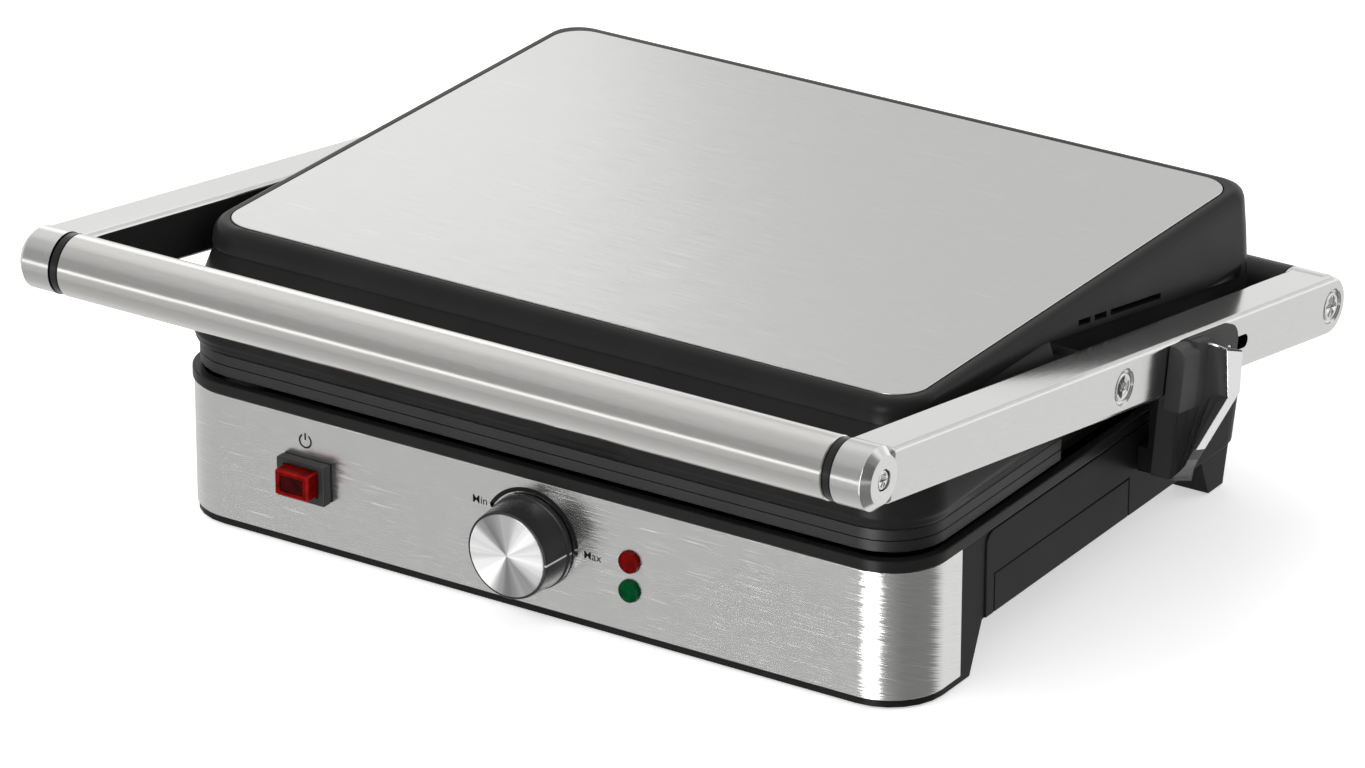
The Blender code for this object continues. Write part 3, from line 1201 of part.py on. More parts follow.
def skirt_ring(height_share, inset_share):
    """The cover's lower outline at one height, as 3-D points."""
    side = (LIP_HALF - TOP_PLATE_HALF) * inset_share
    front = LIP_FRONT + (TOP_PLATE_FRONT - LIP_FRONT) * inset_share
    rear = SKIRT_REAR - side / 2
    outline = rounded_outline(-LIP_HALF + side, LIP_HALF - side, front, rear,
                              COVER_FRONT_RADIUS - side, COVER_REAR_RADIUS - side / 2)
    return [(x, y, cover_height(height_share)) for x, y in outline]


def hood_ring(height_share, half_share, front_share, rear_share):
    """The cover's upper outline at one height, as 3-D points."""
    half = LIP_HALF * half_share
    front = LIP_FRONT + LIP_REAR * front_share
    rear = LIP_REAR * rear_share
    shrink = LIP_HALF - half
    outline = rounded_outline(-half, half, front, rear, COVER_FRONT_RADIUS - shrink,
                              COVER_REAR_RADIUS - shrink / 2)
    return [(x, y, cover_height(height_share)) for x, y in outline]


def build_cover():
    """The floating cover: black shell, steel top plate, and the bushes in its bosses."""
    shell = add_piece("cover_shell", loft_mesh(
        "cover_shell", [skirt_ring(*shares) for shares in skirt_shares]), "cover", "black_plastic")
    for side_name, sign in (("left", -1), ("right", 1)):
        low, high = sorted((sign * RECESS_HALF, sign * (LIP_HALF + OVERRUN)))
        room = box_mesh("cut_arm_room_" + side_name, (low, PLATE_STEP_Y - GAP, COVER_BOTTOM - OVERRUN),
                        (high, LIP_REAR + OVERRUN, COVER_TOP))
        cut(shell, add_tool("cut_arm_room_" + side_name, room, "cover"))
    hood = loft_mesh("join_hood", [hood_ring(*shares) for shares in hood_shares])
    hood_tool = add_tool("join_hood", hood, "cover")
    front = LIP_FRONT - OVERRUN
    rear = LIP_REAR + OVERRUN * 2
    below = [(front, RECESS_TOP), (front, COVER_BOTTOM), (rear, COVER_BOTTOM),
             (rear, RECESS_TOP - (rear - RECESS_BEND) * RIDGE_SLOPE), (RECESS_BEND, RECESS_TOP)]
    reach = LIP_HALF + OVERRUN
    under = slab_mesh("cut_under_hood", [below], -reach, reach, "X")
    cut(hood_tool, add_tool("cut_under_hood", under, "cover"))
    join(shell, hood_tool)
    cavity = rounded_outline(-CAVITY_HALF, CAVITY_HALF, CAVITY_FRONT, CAVITY_REAR, BASIN_RADIUS)
    room = slab_mesh("cut_cavity", [cavity], COVER_BOTTOM - OVERRUN, CAVITY_TOP)
    cut(shell, add_tool("cut_cavity", room, "cover"))
    seat = rounded_outline(-TOP_PLATE_HALF - GROOVE, TOP_PLATE_HALF + GROOVE, TOP_PLATE_FRONT - GROOVE,
                           TOP_PLATE_REAR + GROOVE, TOP_PLATE_RADIUS + GROOVE)
    seat_z = COVER_TOP + TOP_PLATE_PROUD - TOP_PLATE_SHEET - GAP
    seat_mesh = slab_mesh("cut_plate_seat", [seat], seat_z, COVER_TOP + OVERRUN)
    cut(shell, add_tool("cut_plate_seat", seat_mesh, "cover"))
    for side_name, sign in (("left", -1), ("right", 1)):
        build_cover_side(shell, side_name, sign)
    outline = rounded_outline(-TOP_PLATE_HALF, TOP_PLATE_HALF, TOP_PLATE_FRONT, TOP_PLATE_REAR,
                              TOP_PLATE_RADIUS)
    add_piece("top_plate", slab_mesh("top_plate", [outline], seat_z + GAP, COVER_TOP + TOP_PLATE_PROUD),
              "cover", "brushed_steel")


def build_cover_side(shell, side_name, sign):
    """A boss with its bush, and the vent slots of one side."""
    low, high = sorted((sign * (CAVITY_HALF + GAP), sign * (ARM_IN - RUN_GAP)))
    name = "join_boss_" + side_name
    join(shell, add_tool(name, rod_mesh(name, BOSS_RADIUS, low, high, "X", ROUND_STEPS), "cover",
                         (0, PIVOT.x, PIVOT.y)))
    bush_radius = PIVOT_RADIUS + BUSH_WALL
    low, high = sorted((sign * (CAVITY_HALF - OVERRUN), sign * (ARM_IN + OVERRUN)))
    name = "cut_bush_seat_" + side_name
    cut(shell, add_tool(name, rod_mesh(name, bush_radius + GAP, low, high, "X", ROUND_STEPS), "cover",
                        (0, PIVOT.x, PIVOT.y)))
    name = "pivot_bush_" + side_name
    low, high = sorted((sign * CAVITY_HALF, sign * (ARM_IN - RUN_GAP / 2)))
    bush = add_piece(name, rod_mesh(name, bush_radius, low, high, "X", ROUND_STEPS), "cover", "brass",
                     (0, PIVOT.x, PIVOT.y))
    name = "cut_bush_bore_" + side_name
    bore = rod_mesh(name, PIVOT_RADIUS + GAP, low - OVERRUN, high + OVERRUN, "X", ROUND_STEPS)
    cut(bush, add_tool(name, bore, "cover", (0, PIVOT.x, PIVOT.y)))
    build_vents(shell, side_name, sign)


def build_vents(shell, side_name, sign):
    """One long slot with two short ones ahead of it, just over the arm."""
    low, high = sorted((sign * (CAVITY_HALF - OVERRUN), sign * (LIP_HALF + OVERRUN)))
    starts = [(SLOT_START, SLOT_LENGTH)]
    short_start = SLOT_START - SLOT_LENGTH + SLOT_SHORT
    starts += [(short_start - SLOT_PITCH * (turn + 1), SLOT_SHORT) for turn in range(2)]
    for index, (rear, length) in enumerate(starts):
        def line(y):
            return RECESS_TOP - (y - RECESS_BEND) * RIDGE_SLOPE + SLOT_RISE
        front = rear - length
        outline = [(front, line(front)), (rear, line(rear)), (rear, line(rear) + SLOT_HEIGHT),
                   (front, line(front) + SLOT_HEIGHT)]
        name = "cut_vent_" + side_name + "_" + str(index)
        cut(shell, add_tool(name, slab_mesh(name, [outline], low, high, "X"), "cover"))


def blade_section(share, x, ceiling=None):
    """The thumb blade's section at a share of the way out from the arm."""
    points = []
    scoop = LOCK_SCOOP * math.sin(math.pi * share)
    for index, (inner, outer) in enumerate(zip(blade_inner_shares, blade_outer_shares)):
        run = (inner[0] + (outer[0] - inner[0]) * share) * LOCK_REACH
        rise = (inner[1] + (outer[1] - inner[1]) * share) * LOCK_REACH
        if index < 3:
            run += scoop
        if ceiling is not None:
            if index in (0, 5):
                continue
            rise = min(rise, ceiling)
            run += GAP if index < 3 else -GAP
        y, z = arm_point(run, rise)
        points.append((x, y, z))
    return points


def build_side_lock(arm):
    """The sliding lock: guide plate, curved thumb blade with its bright edge, finger and pin."""
    plate_in = ARM_OUT + GAP
    plate_out = plate_in + LOCK_PLATE_SHEET
    corner = arm_point(LOCK_PLATE_REAR - LOCK_PLATE_RADIUS, LOCK_PLATE_UP - LOCK_PLATE_RADIUS)
    pitch = math.degrees(math.atan2(-ARM_DIR.y, -ARM_DIR.x))
    outline = arc_points(corner, LOCK_PLATE_RADIUS, pitch, pitch + 90, CORNER_STEPS)
    outline += [arm_point(LOCK_PLATE_FRONT, LOCK_PLATE_UP), arm_point(LOCK_PLATE_FRONT, -LOCK_PLATE_DOWN),
                arm_point(LOCK_PLATE_REAR, -LOCK_PLATE_DOWN)]
    slider = add_piece("lock_slider", slab_mesh("lock_slider", [outline], plate_in, plate_out, "X"),
                       "side_lock", "black_plastic")
    block_front = LOCK_PLATE_FRONT - GAP
    block_rear = LOCK_PLATE_FRONT + LOCK_BLOCK_LENGTH
    block_up = LOCK_PLATE_UP - GAP
    block = [arm_point(block_front, block_up), arm_point(block_front, -LOCK_BLOCK_DOWN),
             arm_point(block_rear, -LOCK_BLOCK_DOWN), arm_point(block_rear, block_up)]
    join(slider, add_tool("join_lock_block", slab_mesh(
        "join_lock_block", [block], plate_in + GAP, plate_in + LOCK_BLOCK_SHEET, "X"), "side_lock"))
    steps = 5
    rings = []
    for step in range(steps + 1):
        share = step / steps
        rings.append(blade_section(share, plate_in + (LOCK_OUT - plate_in) * share))
    join(slider, add_tool("join_blade", loft_mesh("join_blade", rings), "side_lock"))
    under = [blade_section(0, x, -LOCK_UNDER_TOP) for x in (LOCK_UNDER_IN, plate_in + LOCK_PLATE_SHEET / 2)]
    join(slider, add_tool("join_under_arm", loft_mesh("join_under_arm", under), "side_lock"))
    root = LOCK_UNDER_IN + OVERRUN
    inner = LOCK_UNDER_IN + GAP
    reach = [(inner, FINGER_ROOT), (root, FINGER_ROOT), (root, FINGER_REAR), (FINGER_IN, FINGER_REAR),
             (FINGER_IN, FINGER_FRONT), (inner, FINGER_FRONT)]
    finger = slab_mesh("join_finger", [reach], FINGER_BOTTOM, FINGER_TOP)
    join(slider, add_tool("join_finger", finger, "side_lock"))
    build_lock_trim()
    pin_y, pin_z = arm_point(LOCK_PIN_RUN, 0)
    head_out = ARM_OUT - ARM_SHEET - GAP
    profile = [(0, plate_out - GAP), (LOCK_PIN_RADIUS, plate_out - GAP), (LOCK_PIN_RADIUS, head_out),
               (LOCK_PIN_HEAD, head_out), (LOCK_PIN_HEAD, head_out - LOCK_PIN_HEAD_HEIGHT),
               (0, head_out - LOCK_PIN_HEAD_HEIGHT)]
    add_piece("lock_pin", turned_mesh("lock_pin", profile, "X", SMALL_STEPS), "side_lock", "screw_steel",
              (0, pin_y, pin_z))
    bore = rod_mesh("cut_lock_pin", LOCK_PIN_RADIUS + GAP, plate_in - OVERRUN, plate_out + GAP, "X")
    cut(slider, add_tool("cut_lock_pin", bore, "side_lock", (0, pin_y, pin_z)))
    half = LOCK_SLOT_HALF
    front = arm_point(LOCK_SLOT_FRONT + half, 0)
    rear = arm_point(LOCK_SLOT_REAR - half, 0)
    slot = arc_points(rear, half, pitch - 90, pitch + 90, CORNER_STEPS)
    slot += arc_points(front, half, pitch + 90, pitch + 270, CORNER_STEPS)
    cut(arm, add_tool("cut_lock_slot", slab_mesh(
        "cut_lock_slot", [slot], ARM_OUT - ARM_SHEET - OVERRUN, ARM_OUT + OVERRUN, "X"), "lid_frame"))


def build_lock_trim():
    """The bright strip on the blade's outer edge."""
    margin = LOCK_TRIM_MARGIN / LOCK_REACH
    front_top, front_bend, front_foot, rear_foot, rear_bend, rear_top = blade_outer_shares
    outline = [
        (front_top[0] + margin, front_top[1] - margin),
        (front_bend[0] + margin, front_bend[1] - margin / 2),
        (front_foot[0] + margin * 2, front_foot[1] + margin / 2),
        (rear_foot[0] + margin / 2, rear_foot[1] + margin),
        (rear_bend[0] - margin, rear_bend[1]),
        (rear_top[0] - margin, rear_top[1] - margin / 2),
    ]
    places = [arm_point(run * LOCK_REACH, rise * LOCK_REACH) for run, rise in outline]
    strip = slab_mesh("lock_trim", [places], LOCK_OUT + GAP / 2, LOCK_OUT + LOCK_TRIM_SHEET, "X")
    add_piece("lock_trim", strip, "side_lock", "aluminium")


def build_keeper():
    """The hooked keeper that the lock's finger slides under."""
    foot = box_mesh("lock_keeper", (KEEPER_IN, KEEPER_FRONT, KEEPER_BOTTOM),
                    (KEEPER_OUT, KEEPER_REAR, KEEPER_STEP))
    keeper = add_piece("lock_keeper", foot, "base", "black_plastic")
    post = box_mesh("join_keeper_post", (KEEPER_POST_IN, KEEPER_FRONT, KEEPER_STEP - OVERRUN),
                    (KEEPER_POST_OUT, KEEPER_FRONT + KEEPER_POST_LENGTH, KEEPER_TOP))
    join(keeper, add_tool("join_keeper_post", post, "base"))
    hook = [(KEEPER_REAR - KEEPER_WALL, KEEPER_STEP - OVERRUN), (KEEPER_REAR, KEEPER_STEP - OVERRUN),
            (KEEPER_REAR, KEEPER_REAR_TOP), (KEEPER_LIP_FRONT, KEEPER_REAR_TOP),
            (KEEPER_LIP_FRONT, KEEPER_LIP_BOTTOM), (KEEPER_REAR - KEEPER_WALL, KEEPER_LIP_BOTTOM)]
    join(keeper, add_tool("join_keeper_hook", slab_mesh(
        "join_keeper_hook", [hook], KEEPER_POST_IN, KEEPER_POST_OUT, "X"), "base"))


def build_grill():
    """Everything, in the order in which the pieces carry each other."""
    make_empties()
    housing = build_base_housing()
    band = build_steel_band()
    pierce_front([housing, band])
    build_side_panels()
    build_base_rim()
    build_grill_plates()
    build_heaters_and_shields()
    build_drip_tray()
    build_bottom(housing)
    build_controls()
    build_rear()
    build_inlet(housing)
    arms = build_lid_frame()
    build_cover()
    build_side_lock(arms["right"])
    build_keeper()


build_grill()
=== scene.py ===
# %% [markdown]
# # A contact grill, from its solid model to a finished picture
# The solid model gives every piece's size and place. This lesson adds what a camera sees:
# brushed steel, moulded plastic, a spun dial, printed marks, and the edges that catch light.

# %% Load the solid model
import json
import math

import bmesh
import bpy
from mathutils import Matrix, Vector

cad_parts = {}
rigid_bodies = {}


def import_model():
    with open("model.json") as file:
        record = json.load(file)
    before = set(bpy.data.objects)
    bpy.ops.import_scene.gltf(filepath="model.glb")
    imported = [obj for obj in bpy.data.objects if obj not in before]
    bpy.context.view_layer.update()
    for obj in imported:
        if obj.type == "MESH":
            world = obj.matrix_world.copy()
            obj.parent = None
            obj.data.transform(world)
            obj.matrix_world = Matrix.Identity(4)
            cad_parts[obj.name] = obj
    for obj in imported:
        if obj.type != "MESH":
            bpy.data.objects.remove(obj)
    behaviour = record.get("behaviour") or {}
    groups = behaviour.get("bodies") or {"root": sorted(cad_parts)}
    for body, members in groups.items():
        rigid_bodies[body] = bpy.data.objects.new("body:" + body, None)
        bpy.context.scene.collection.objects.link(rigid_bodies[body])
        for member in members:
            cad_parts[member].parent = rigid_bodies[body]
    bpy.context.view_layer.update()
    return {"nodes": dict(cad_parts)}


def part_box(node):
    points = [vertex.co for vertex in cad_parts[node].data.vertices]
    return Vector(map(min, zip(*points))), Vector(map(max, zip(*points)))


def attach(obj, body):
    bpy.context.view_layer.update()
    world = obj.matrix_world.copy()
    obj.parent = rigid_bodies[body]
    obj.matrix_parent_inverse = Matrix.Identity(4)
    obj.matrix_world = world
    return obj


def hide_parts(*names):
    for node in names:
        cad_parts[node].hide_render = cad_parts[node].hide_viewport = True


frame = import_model()
nodes = frame["nodes"]

# %% [markdown]
# ## Working in the appliance's own directions
# On the real grill, sizes are read from the middle of the front panel: x to the right, y to
# the rear and z up from the table. The solid model's origin is the middle of its footprint.
# One small function turns millimetres at the front panel into metres in the model, so that
# every number below can be checked with a ruler.

# %% From millimetres at the front panel to the model
MM = 0.001
band_low, band_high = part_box("steel_band")
MIDDLE_X = -(band_low.x + band_high.x) / 2 / MM
MIDDLE_Y = -band_low.y / MM


def place(x, y, z):
    """A point given in millimetres at the front panel, in the model's metres."""
    return Vector(((x - MIDDLE_X) * MM, (y - MIDDLE_Y) * MM, z * MM))


def measured(name):
    """A node's lowest and highest corners, back in millimetres at the front panel."""
    low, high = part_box(name)
    shift = Vector((MIDDLE_X, MIDDLE_Y, 0))
    return low / MM + shift, high / MM + shift


def middle_of(name):
    """The middle of a node's box, in millimetres at the front panel."""
    low, high = measured(name)
    return tuple((start + end) / 2 for start, end in zip(low, high))


print("front panel origin at", [round(v, 4) for v in place(0, 0, 0)])

# %% [markdown]
# ## The camera
# A product photograph taken from far away keeps parallel edges almost parallel. The long lens
# here stands almost three metres off, to the right and above. It is placed first, because
# everything else is judged through it.

# %% Camera at the photograph's view
CAMERA_AT = (1401.24, -2078.06, 1208.16)
CAMERA_YAW = 32.71
CAMERA_PITCH = 23.98
CAMERA_ROLL = 0.117
LENS = 197.0
SENSOR = 36.0
FAR_CLIP = 20

yaw, pitch, roll = (math.radians(angle) for angle in (CAMERA_YAW, CAMERA_PITCH, CAMERA_ROLL))
forward = Vector((-math.sin(yaw) * math.cos(pitch), math.cos(yaw) * math.cos(pitch),
                  -math.sin(pitch)))
level = Vector((math.cos(yaw), math.sin(yaw), 0))
upward = level.cross(forward)
right = math.cos(roll) * level + math.sin(roll) * upward
above = right.cross(forward)

camera_data = bpy.data.cameras.new("photo_camera")
camera_data.lens = LENS
camera_data.sensor_width = SENSOR
camera_data.clip_end = FAR_CLIP
camera = bpy.data.objects.new("photo_camera", camera_data)
camera.matrix_world = Matrix.LocRotScale(
    place(*CAMERA_AT), Matrix((right, above, -forward)).transposed().to_quaternion(), None)
bpy.context.scene.collection.objects.link(camera)
bpy.context.scene.camera = camera
print("camera at", [round(v, 3) for v in camera.location])

# %% [markdown]
# ## Floor and light
# Steel shows a picture of whatever stands round it, so the room matters as much as the lamps.
# A product studio is white all round, with a dark gap where the photographer stands and one
# tall soft strip beside it. That strip and that gap make the bright and dark bars on a rounded
# corner. Only mirror-like rays see them; the rest of the light is even and plain.

# %% Node basics
WHITE = (1, 1, 1, 1)


def new_material(name):
    """A material with its tree and its main shader."""
    material = bpy.data.materials.new(name)
    material.use_nodes = True
    tree = material.node_tree
    return material, tree, tree.nodes["Principled BSDF"]


def maths(tree, operation, *values):
    """Numbers or patterns put through a sum, a product or a comparison."""
    node = tree.nodes.new("ShaderNodeMath")
    node.operation = operation
    for socket, value in zip(node.inputs, values):
        if isinstance(value, (int, float)):
            socket.default_value = value
        else:
            tree.links.new(value, socket)
    return node.outputs[0]


def choose(tree, factor, first, second):
    """One shader, or another where the factor is 1."""
    node = tree.nodes.new("ShaderNodeMixShader")
    tree.links.new(factor, node.inputs["Fac"])
    tree.links.new(first, node.inputs[1])
    tree.links.new(second, node.inputs[2])
    return node.outputs[0]


# %% [markdown]
# ### The floor
# The floor is pale matt paper, lifted a little so that it fades into the white behind it.
# Polished metal looks through it, so it mirrors the room and not the paper's edge.

# %% Floor
FLOOR_SIZE = 9.0
FLOOR_LIFT = 0.52
PAPER = (0.93, 0.93, 0.93, 1)
PAPER_ROUGHNESS = 0.9

floor_mesh = bpy.data.meshes.new("studio_floor")
grid = bmesh.new()
bmesh.ops.create_grid(grid, x_segments=1, y_segments=1, size=FLOOR_SIZE / 2)
grid.to_mesh(floor_mesh)
grid.free()
floor = bpy.data.objects.new("studio_floor", floor_mesh)
bpy.context.scene.collection.objects.link(floor)

floor_material, tree, shader = new_material("studio_paper")
shader.inputs["Base Color"].default_value = PAPER
shader.inputs["Roughness"].default_value = PAPER_ROUGHNESS
shader.inputs["Specular IOR Level"].default_value = 0.0
shader.inputs["Emission Color"].default_value = WHITE
path = tree.nodes.new("ShaderNodeLightPath")
lift = maths(tree, "MULTIPLY", path.outputs["Is Camera Ray"], FLOOR_LIFT)
tree.links.new(lift, shader.inputs["Emission Strength"])
clear = tree.nodes.new("ShaderNodeBsdfTransparent")
surface = choose(tree, path.outputs["Is Glossy Ray"], shader.outputs[0], clear.outputs[0])
tree.links.new(surface, tree.nodes["Material Output"].inputs["Surface"])
floor_mesh.materials.append(floor_material)
print("floor", FLOOR_SIZE, "m square; polished metal looks through it to the white room")

# %% [markdown]
# ### The room, by compass bearing
# Bearings run from the front panel's own direction, positive to the right. Each pair below is a
# bearing and how bright the room is there, where 1 is white paper. The tables by height run from
# -1, straight down, to 1, straight up, and say how much of the room's light is seen there.

# %% World
FILL = 0.50
ROOM = (
    (-180, 0.92), (-165, 0.80), (-150, 0.74), (-120, 0.76), (-70, 0.66), (-38, 0.63),
    (-26, 0.57), (8, 0.58), (19, 0.41), (30, 0.375), (42, 0.325), (55, 0.265), (112, 0.25),
    (140, 0.96), (150, 0.96), (180, 0.92),
)
CAMERA_BEARING = 30
STRIP_BRIGHTNESS = 7.0
STRIP = ((-180, 0.0), (-15, 0.0), (-11, STRIP_BRIGHTNESS), (6, STRIP_BRIGHTNESS), (10, 0.0),
         (180, 0.0))
HORIZON = (
    (-1.0, 1.10), (-0.70, 0.86), (-0.55, 0.80), (-0.46, 0.94), (-0.38, 1.0), (-0.24, 1.0),
    (-0.14, 1.1), (-0.11, 2.6), (-0.01, 2.6), (0.03, 0.80), (0.10, 0.66), (0.50, 0.68),
    (0.66, 0.90), (0.80, 1.0), (1.0, 1.0),
)
REAR_HORIZON = (
    (-1.0, 1.0), (-0.12, 1.0), (0.06, 1.42), (0.18, 1.36), (0.34, 1.0), (0.48, 1.0),
    (0.60, 1.24), (0.80, 1.24), (0.88, 1.0), (1.0, 1.0),
)
STRIP_HEIGHT = ((-1.0, 0.0), (-0.80, 0.0), (-0.60, 1.0), (0.60, 1.0), (0.80, 0.0), (1.0, 0.0))
BRIGHTEST = 8.0

world = bpy.data.worlds.new("studio_world")
world.use_nodes = True
bpy.context.scene.world = world
tree = world.node_tree
tree.nodes.clear()


def background(strength, colour=None):
    """A background shader, with a plain white or a linked colour."""
    node = tree.nodes.new("ShaderNodeBackground")
    node.inputs["Color"].default_value = WHITE
    node.inputs["Strength"].default_value = strength
    if colour is not None:
        tree.links.new(colour, node.inputs["Color"])
    return node.outputs[0]


def by_table(value, low, high, table):
    """Look a value up in a table of pairs, through a soft ramp."""
    share = tree.nodes.new("ShaderNodeMapRange")
    share.inputs["From Min"].default_value = low
    share.inputs["From Max"].default_value = high
    tree.links.new(value, share.inputs["Value"])
    ramp = tree.nodes.new("ShaderNodeValToRGB")
    ramp.color_ramp.interpolation = "EASE"
    stops = ramp.color_ramp.elements
    while len(stops) < len(table):
        stops.new(0.5)
    for stop, (key, bright) in zip(stops, table):
        stop.position = (key - table[0][0]) / (table[-1][0] - table[0][0])
        stop.color = (bright / BRIGHTEST, bright / BRIGHTEST, bright / BRIGHTEST, 1)
    tree.links.new(share.outputs["Result"], ramp.inputs["Fac"])
    return ramp.outputs["Color"]


def by_bearing(table):
    """How bright a table of bearings is where the ray goes."""
    return by_table(bearing, -math.pi, math.pi, table)


def by_height(table):
    """How much a table of heights lets through where the ray goes."""
    return by_table(split.outputs["Z"], -1.0, 1.0, table)


def product(*values):
    """Values multiplied one after another."""
    result = values[0]
    for value in values[1:]:
        result = maths(tree, "MULTIPLY", result, value)
    return result


heading = tree.nodes.new("ShaderNodeTexCoord")
split = tree.nodes.new("ShaderNodeSeparateXYZ")
tree.links.new(heading.outputs["Generated"], split.inputs[0])
ahead = maths(tree, "MULTIPLY", split.outputs["Y"], -1)
bearing = maths(tree, "ARCTAN2", split.outputs["X"], ahead)
in_front = maths(tree, "GREATER_THAN", ahead, 0.0)
behind = maths(tree, "SUBTRACT", 1.0, in_front)
by_side = maths(tree, "ADD", product(by_height(HORIZON), in_front),
                product(by_height(REAR_HORIZON), behind))
walls = product(by_bearing(ROOM), by_side, BRIGHTEST)
tall = product(by_bearing(STRIP), by_height(STRIP_HEIGHT), BRIGHTEST)
seen_by_metal = product(maths(tree, "MAXIMUM", walls, tall), BRIGHTEST)
grey = tree.nodes.new("ShaderNodeCombineColor")
for socket in grey.inputs:
    tree.links.new(seen_by_metal, socket)
path = tree.nodes.new("ShaderNodeLightPath")
seen = maths(tree, "MAXIMUM", path.outputs["Is Camera Ray"], path.outputs["Is Transmission Ray"])
even = choose(tree, path.outputs["Is Glossy Ray"], background(FILL),
              background(1.0, grey.outputs[0]))
out = tree.nodes.new("ShaderNodeOutputWorld")
tree.links.new(choose(tree, seen, even, background(1.0)), out.inputs["Surface"])
print("strip brightness:", STRIP_BRIGHTNESS, "and behind the camera:", dict(ROOM)[CAMERA_BEARING])

# %% [markdown]
# ### Soft lamps
# Three wide panels give the shape: one in front, one high at the left rear and a weak one at the
# right rear, for the edges. A small card at the left rear is the only lamp that polished metal
# sees. It lights up the top plate.

# %% Lamps
PANELS = (
    # name, direction from the grill, distance, width, height, power, seen by polished metal
    ("front_panel", (-0.35, -1.0, 0.75), 2.2, 1.6, 1.2, 14.0, False),
    ("left_panel", (-0.75, 0.65, 0.95), 1.7, 1.5, 1.3, 14.0, False),
    ("rear_panel", (1.0, 0.85, 0.75), 2.4, 1.4, 1.2, 6.5, False),
    ("top_card", (-0.754, 0.633, 0.56), 0.86, 0.42, 0.26, 0.24, True),
)
for name, direction, distance, width, height, power, glossy in PANELS:
    lamp = bpy.data.lights.new(name, "AREA")
    lamp.shape = "RECTANGLE"
    lamp.size = width
    lamp.size_y = height
    lamp.energy = power
    holder = bpy.data.objects.new(name, lamp)
    toward = Vector(direction).normalized()
    holder.location = toward * distance
    holder.rotation_euler = toward.to_track_quat("Z", "Y").to_euler()
    holder.visible_glossy = glossy
    bpy.context.scene.collection.objects.link(holder)
bpy.context.scene.view_settings.view_transform = "Standard"
print("lamps:", len(PANELS), "total watts", round(sum(power for *_, power, _ in PANELS), 1))

# %% [markdown]
# ## Small tools for finishes
# Each finish is a few nodes on one Principled shader. The helpers read the piece's own
# coordinates, stretch noise into a grain, blend two colours by a pattern, let a pattern vary the
# roughness, and turn a pattern into tiny bumps.

# %% Node helpers


def coordinates(tree, kind, scale=(1, 1, 1)):
    """The piece's own coordinates, stretched along each axis."""
    source = tree.nodes.new("ShaderNodeTexCoord")
    stretch = tree.nodes.new("ShaderNodeMapping")
    stretch.inputs["Scale"].default_value = scale
    tree.links.new(source.outputs[kind], stretch.inputs["Vector"])
    return stretch.outputs["Vector"]


def noise(tree, vector, scale, detail):
    """Soft random values between 0 and 1."""
    node = tree.nodes.new("ShaderNodeTexNoise")
    node.inputs["Scale"].default_value = scale
    node.inputs["Detail"].default_value = detail
    tree.links.new(vector, node.inputs["Vector"])
    return node.outputs["Fac"]


def streaked(tree, along, across, detail):
    """Noise drawn out along the piece's grain map, with a scale for each direction."""
    return noise(tree, coordinates(tree, "UV", (along, across, 1)), 1.0, detail)


def remap(tree, value, low, high, new_low, new_high):
    """Stretch a range of values onto another, and stop at its ends."""
    node = tree.nodes.new("ShaderNodeMapRange")
    ends = zip(("From Min", "From Max", "To Min", "To Max"), (low, high, new_low, new_high))
    for socket, number in ends:
        node.inputs[socket].default_value = number
    tree.links.new(value, node.inputs["Value"])
    return node.outputs["Result"]


def bump(tree, shader, height, strength, distance):
    """Tiny relief from a pattern."""
    node = tree.nodes.new("ShaderNodeBump")
    node.inputs["Strength"].default_value = strength
    node.inputs["Distance"].default_value = distance
    tree.links.new(height, node.inputs["Height"])
    tree.links.new(node.outputs["Normal"], shader.inputs["Normal"])


def tint(tree, shader, value, dark, light):
    """Blend between two colours by a pattern."""
    node = tree.nodes.new("ShaderNodeMix")
    node.data_type = "RGBA"
    node.inputs["A"].default_value = (*dark, 1)
    node.inputs["B"].default_value = (*light, 1)
    tree.links.new(value, node.inputs["Factor"])
    tree.links.new(node.outputs["Result"], shader.inputs["Base Color"])


def shaded(colour, share):
    """A colour made darker or lighter."""
    return tuple(min(1.0, channel * share) for channel in colour)


def vary_roughness(tree, shader, value, roughness, rougher=0.04):
    """Let a pattern make the surface a little smoother or rougher."""
    varied = remap(tree, value, 0.3, 0.7, roughness - 0.03, roughness + rougher)
    tree.links.new(varied, shader.inputs["Roughness"])


# %% [markdown]
# ## Brushed steel
# Brushing drags thousands of fine scratches one way. Each scratch tips the surface a little, so
# a reflection breaks into thin streaks along the grain. A single roughness would look like grey
# paint. Here one noise, stretched along the grain, tips the surface streak by streak, and a
# sparser one paints the few longer scratches lighter, as a painted glint.

# %% Brushed steel
GRAIN_MAP = "grain"
# Scale along the grain and across it, per metre, and detail
STREAKS = (45, 3600, 3.0)
FINE_STREAKS = (160, 9000, 2.0)
SCRATCH_GLINTS = (34, 900, 1.0)
PATCHES = (9, 22, 1.0)
LATHE_RINGS = (3, 7000, 2.0)
PAINTED_WEDGES = (130, 1, 3.0)


def tipped(tree, shader, streaks, along, across):
    """Tip the surface along and across the grain by a streak pattern."""
    colour = tree.nodes.new("ShaderNodeCombineXYZ")
    tree.links.new(remap(tree, streaks, 0.25, 0.75, 0.5 - along, 0.5 + along), colour.inputs["X"])
    tree.links.new(remap(tree, streaks, 0.25, 0.75, 0.5 + across, 0.5 - across), colour.inputs["Y"])
    colour.inputs["Z"].default_value = 1.0
    node = tree.nodes.new("ShaderNodeNormalMap")
    node.uv_map = GRAIN_MAP
    tree.links.new(colour.outputs[0], node.inputs["Color"])
    tree.links.new(node.outputs["Normal"], shader.inputs["Normal"])


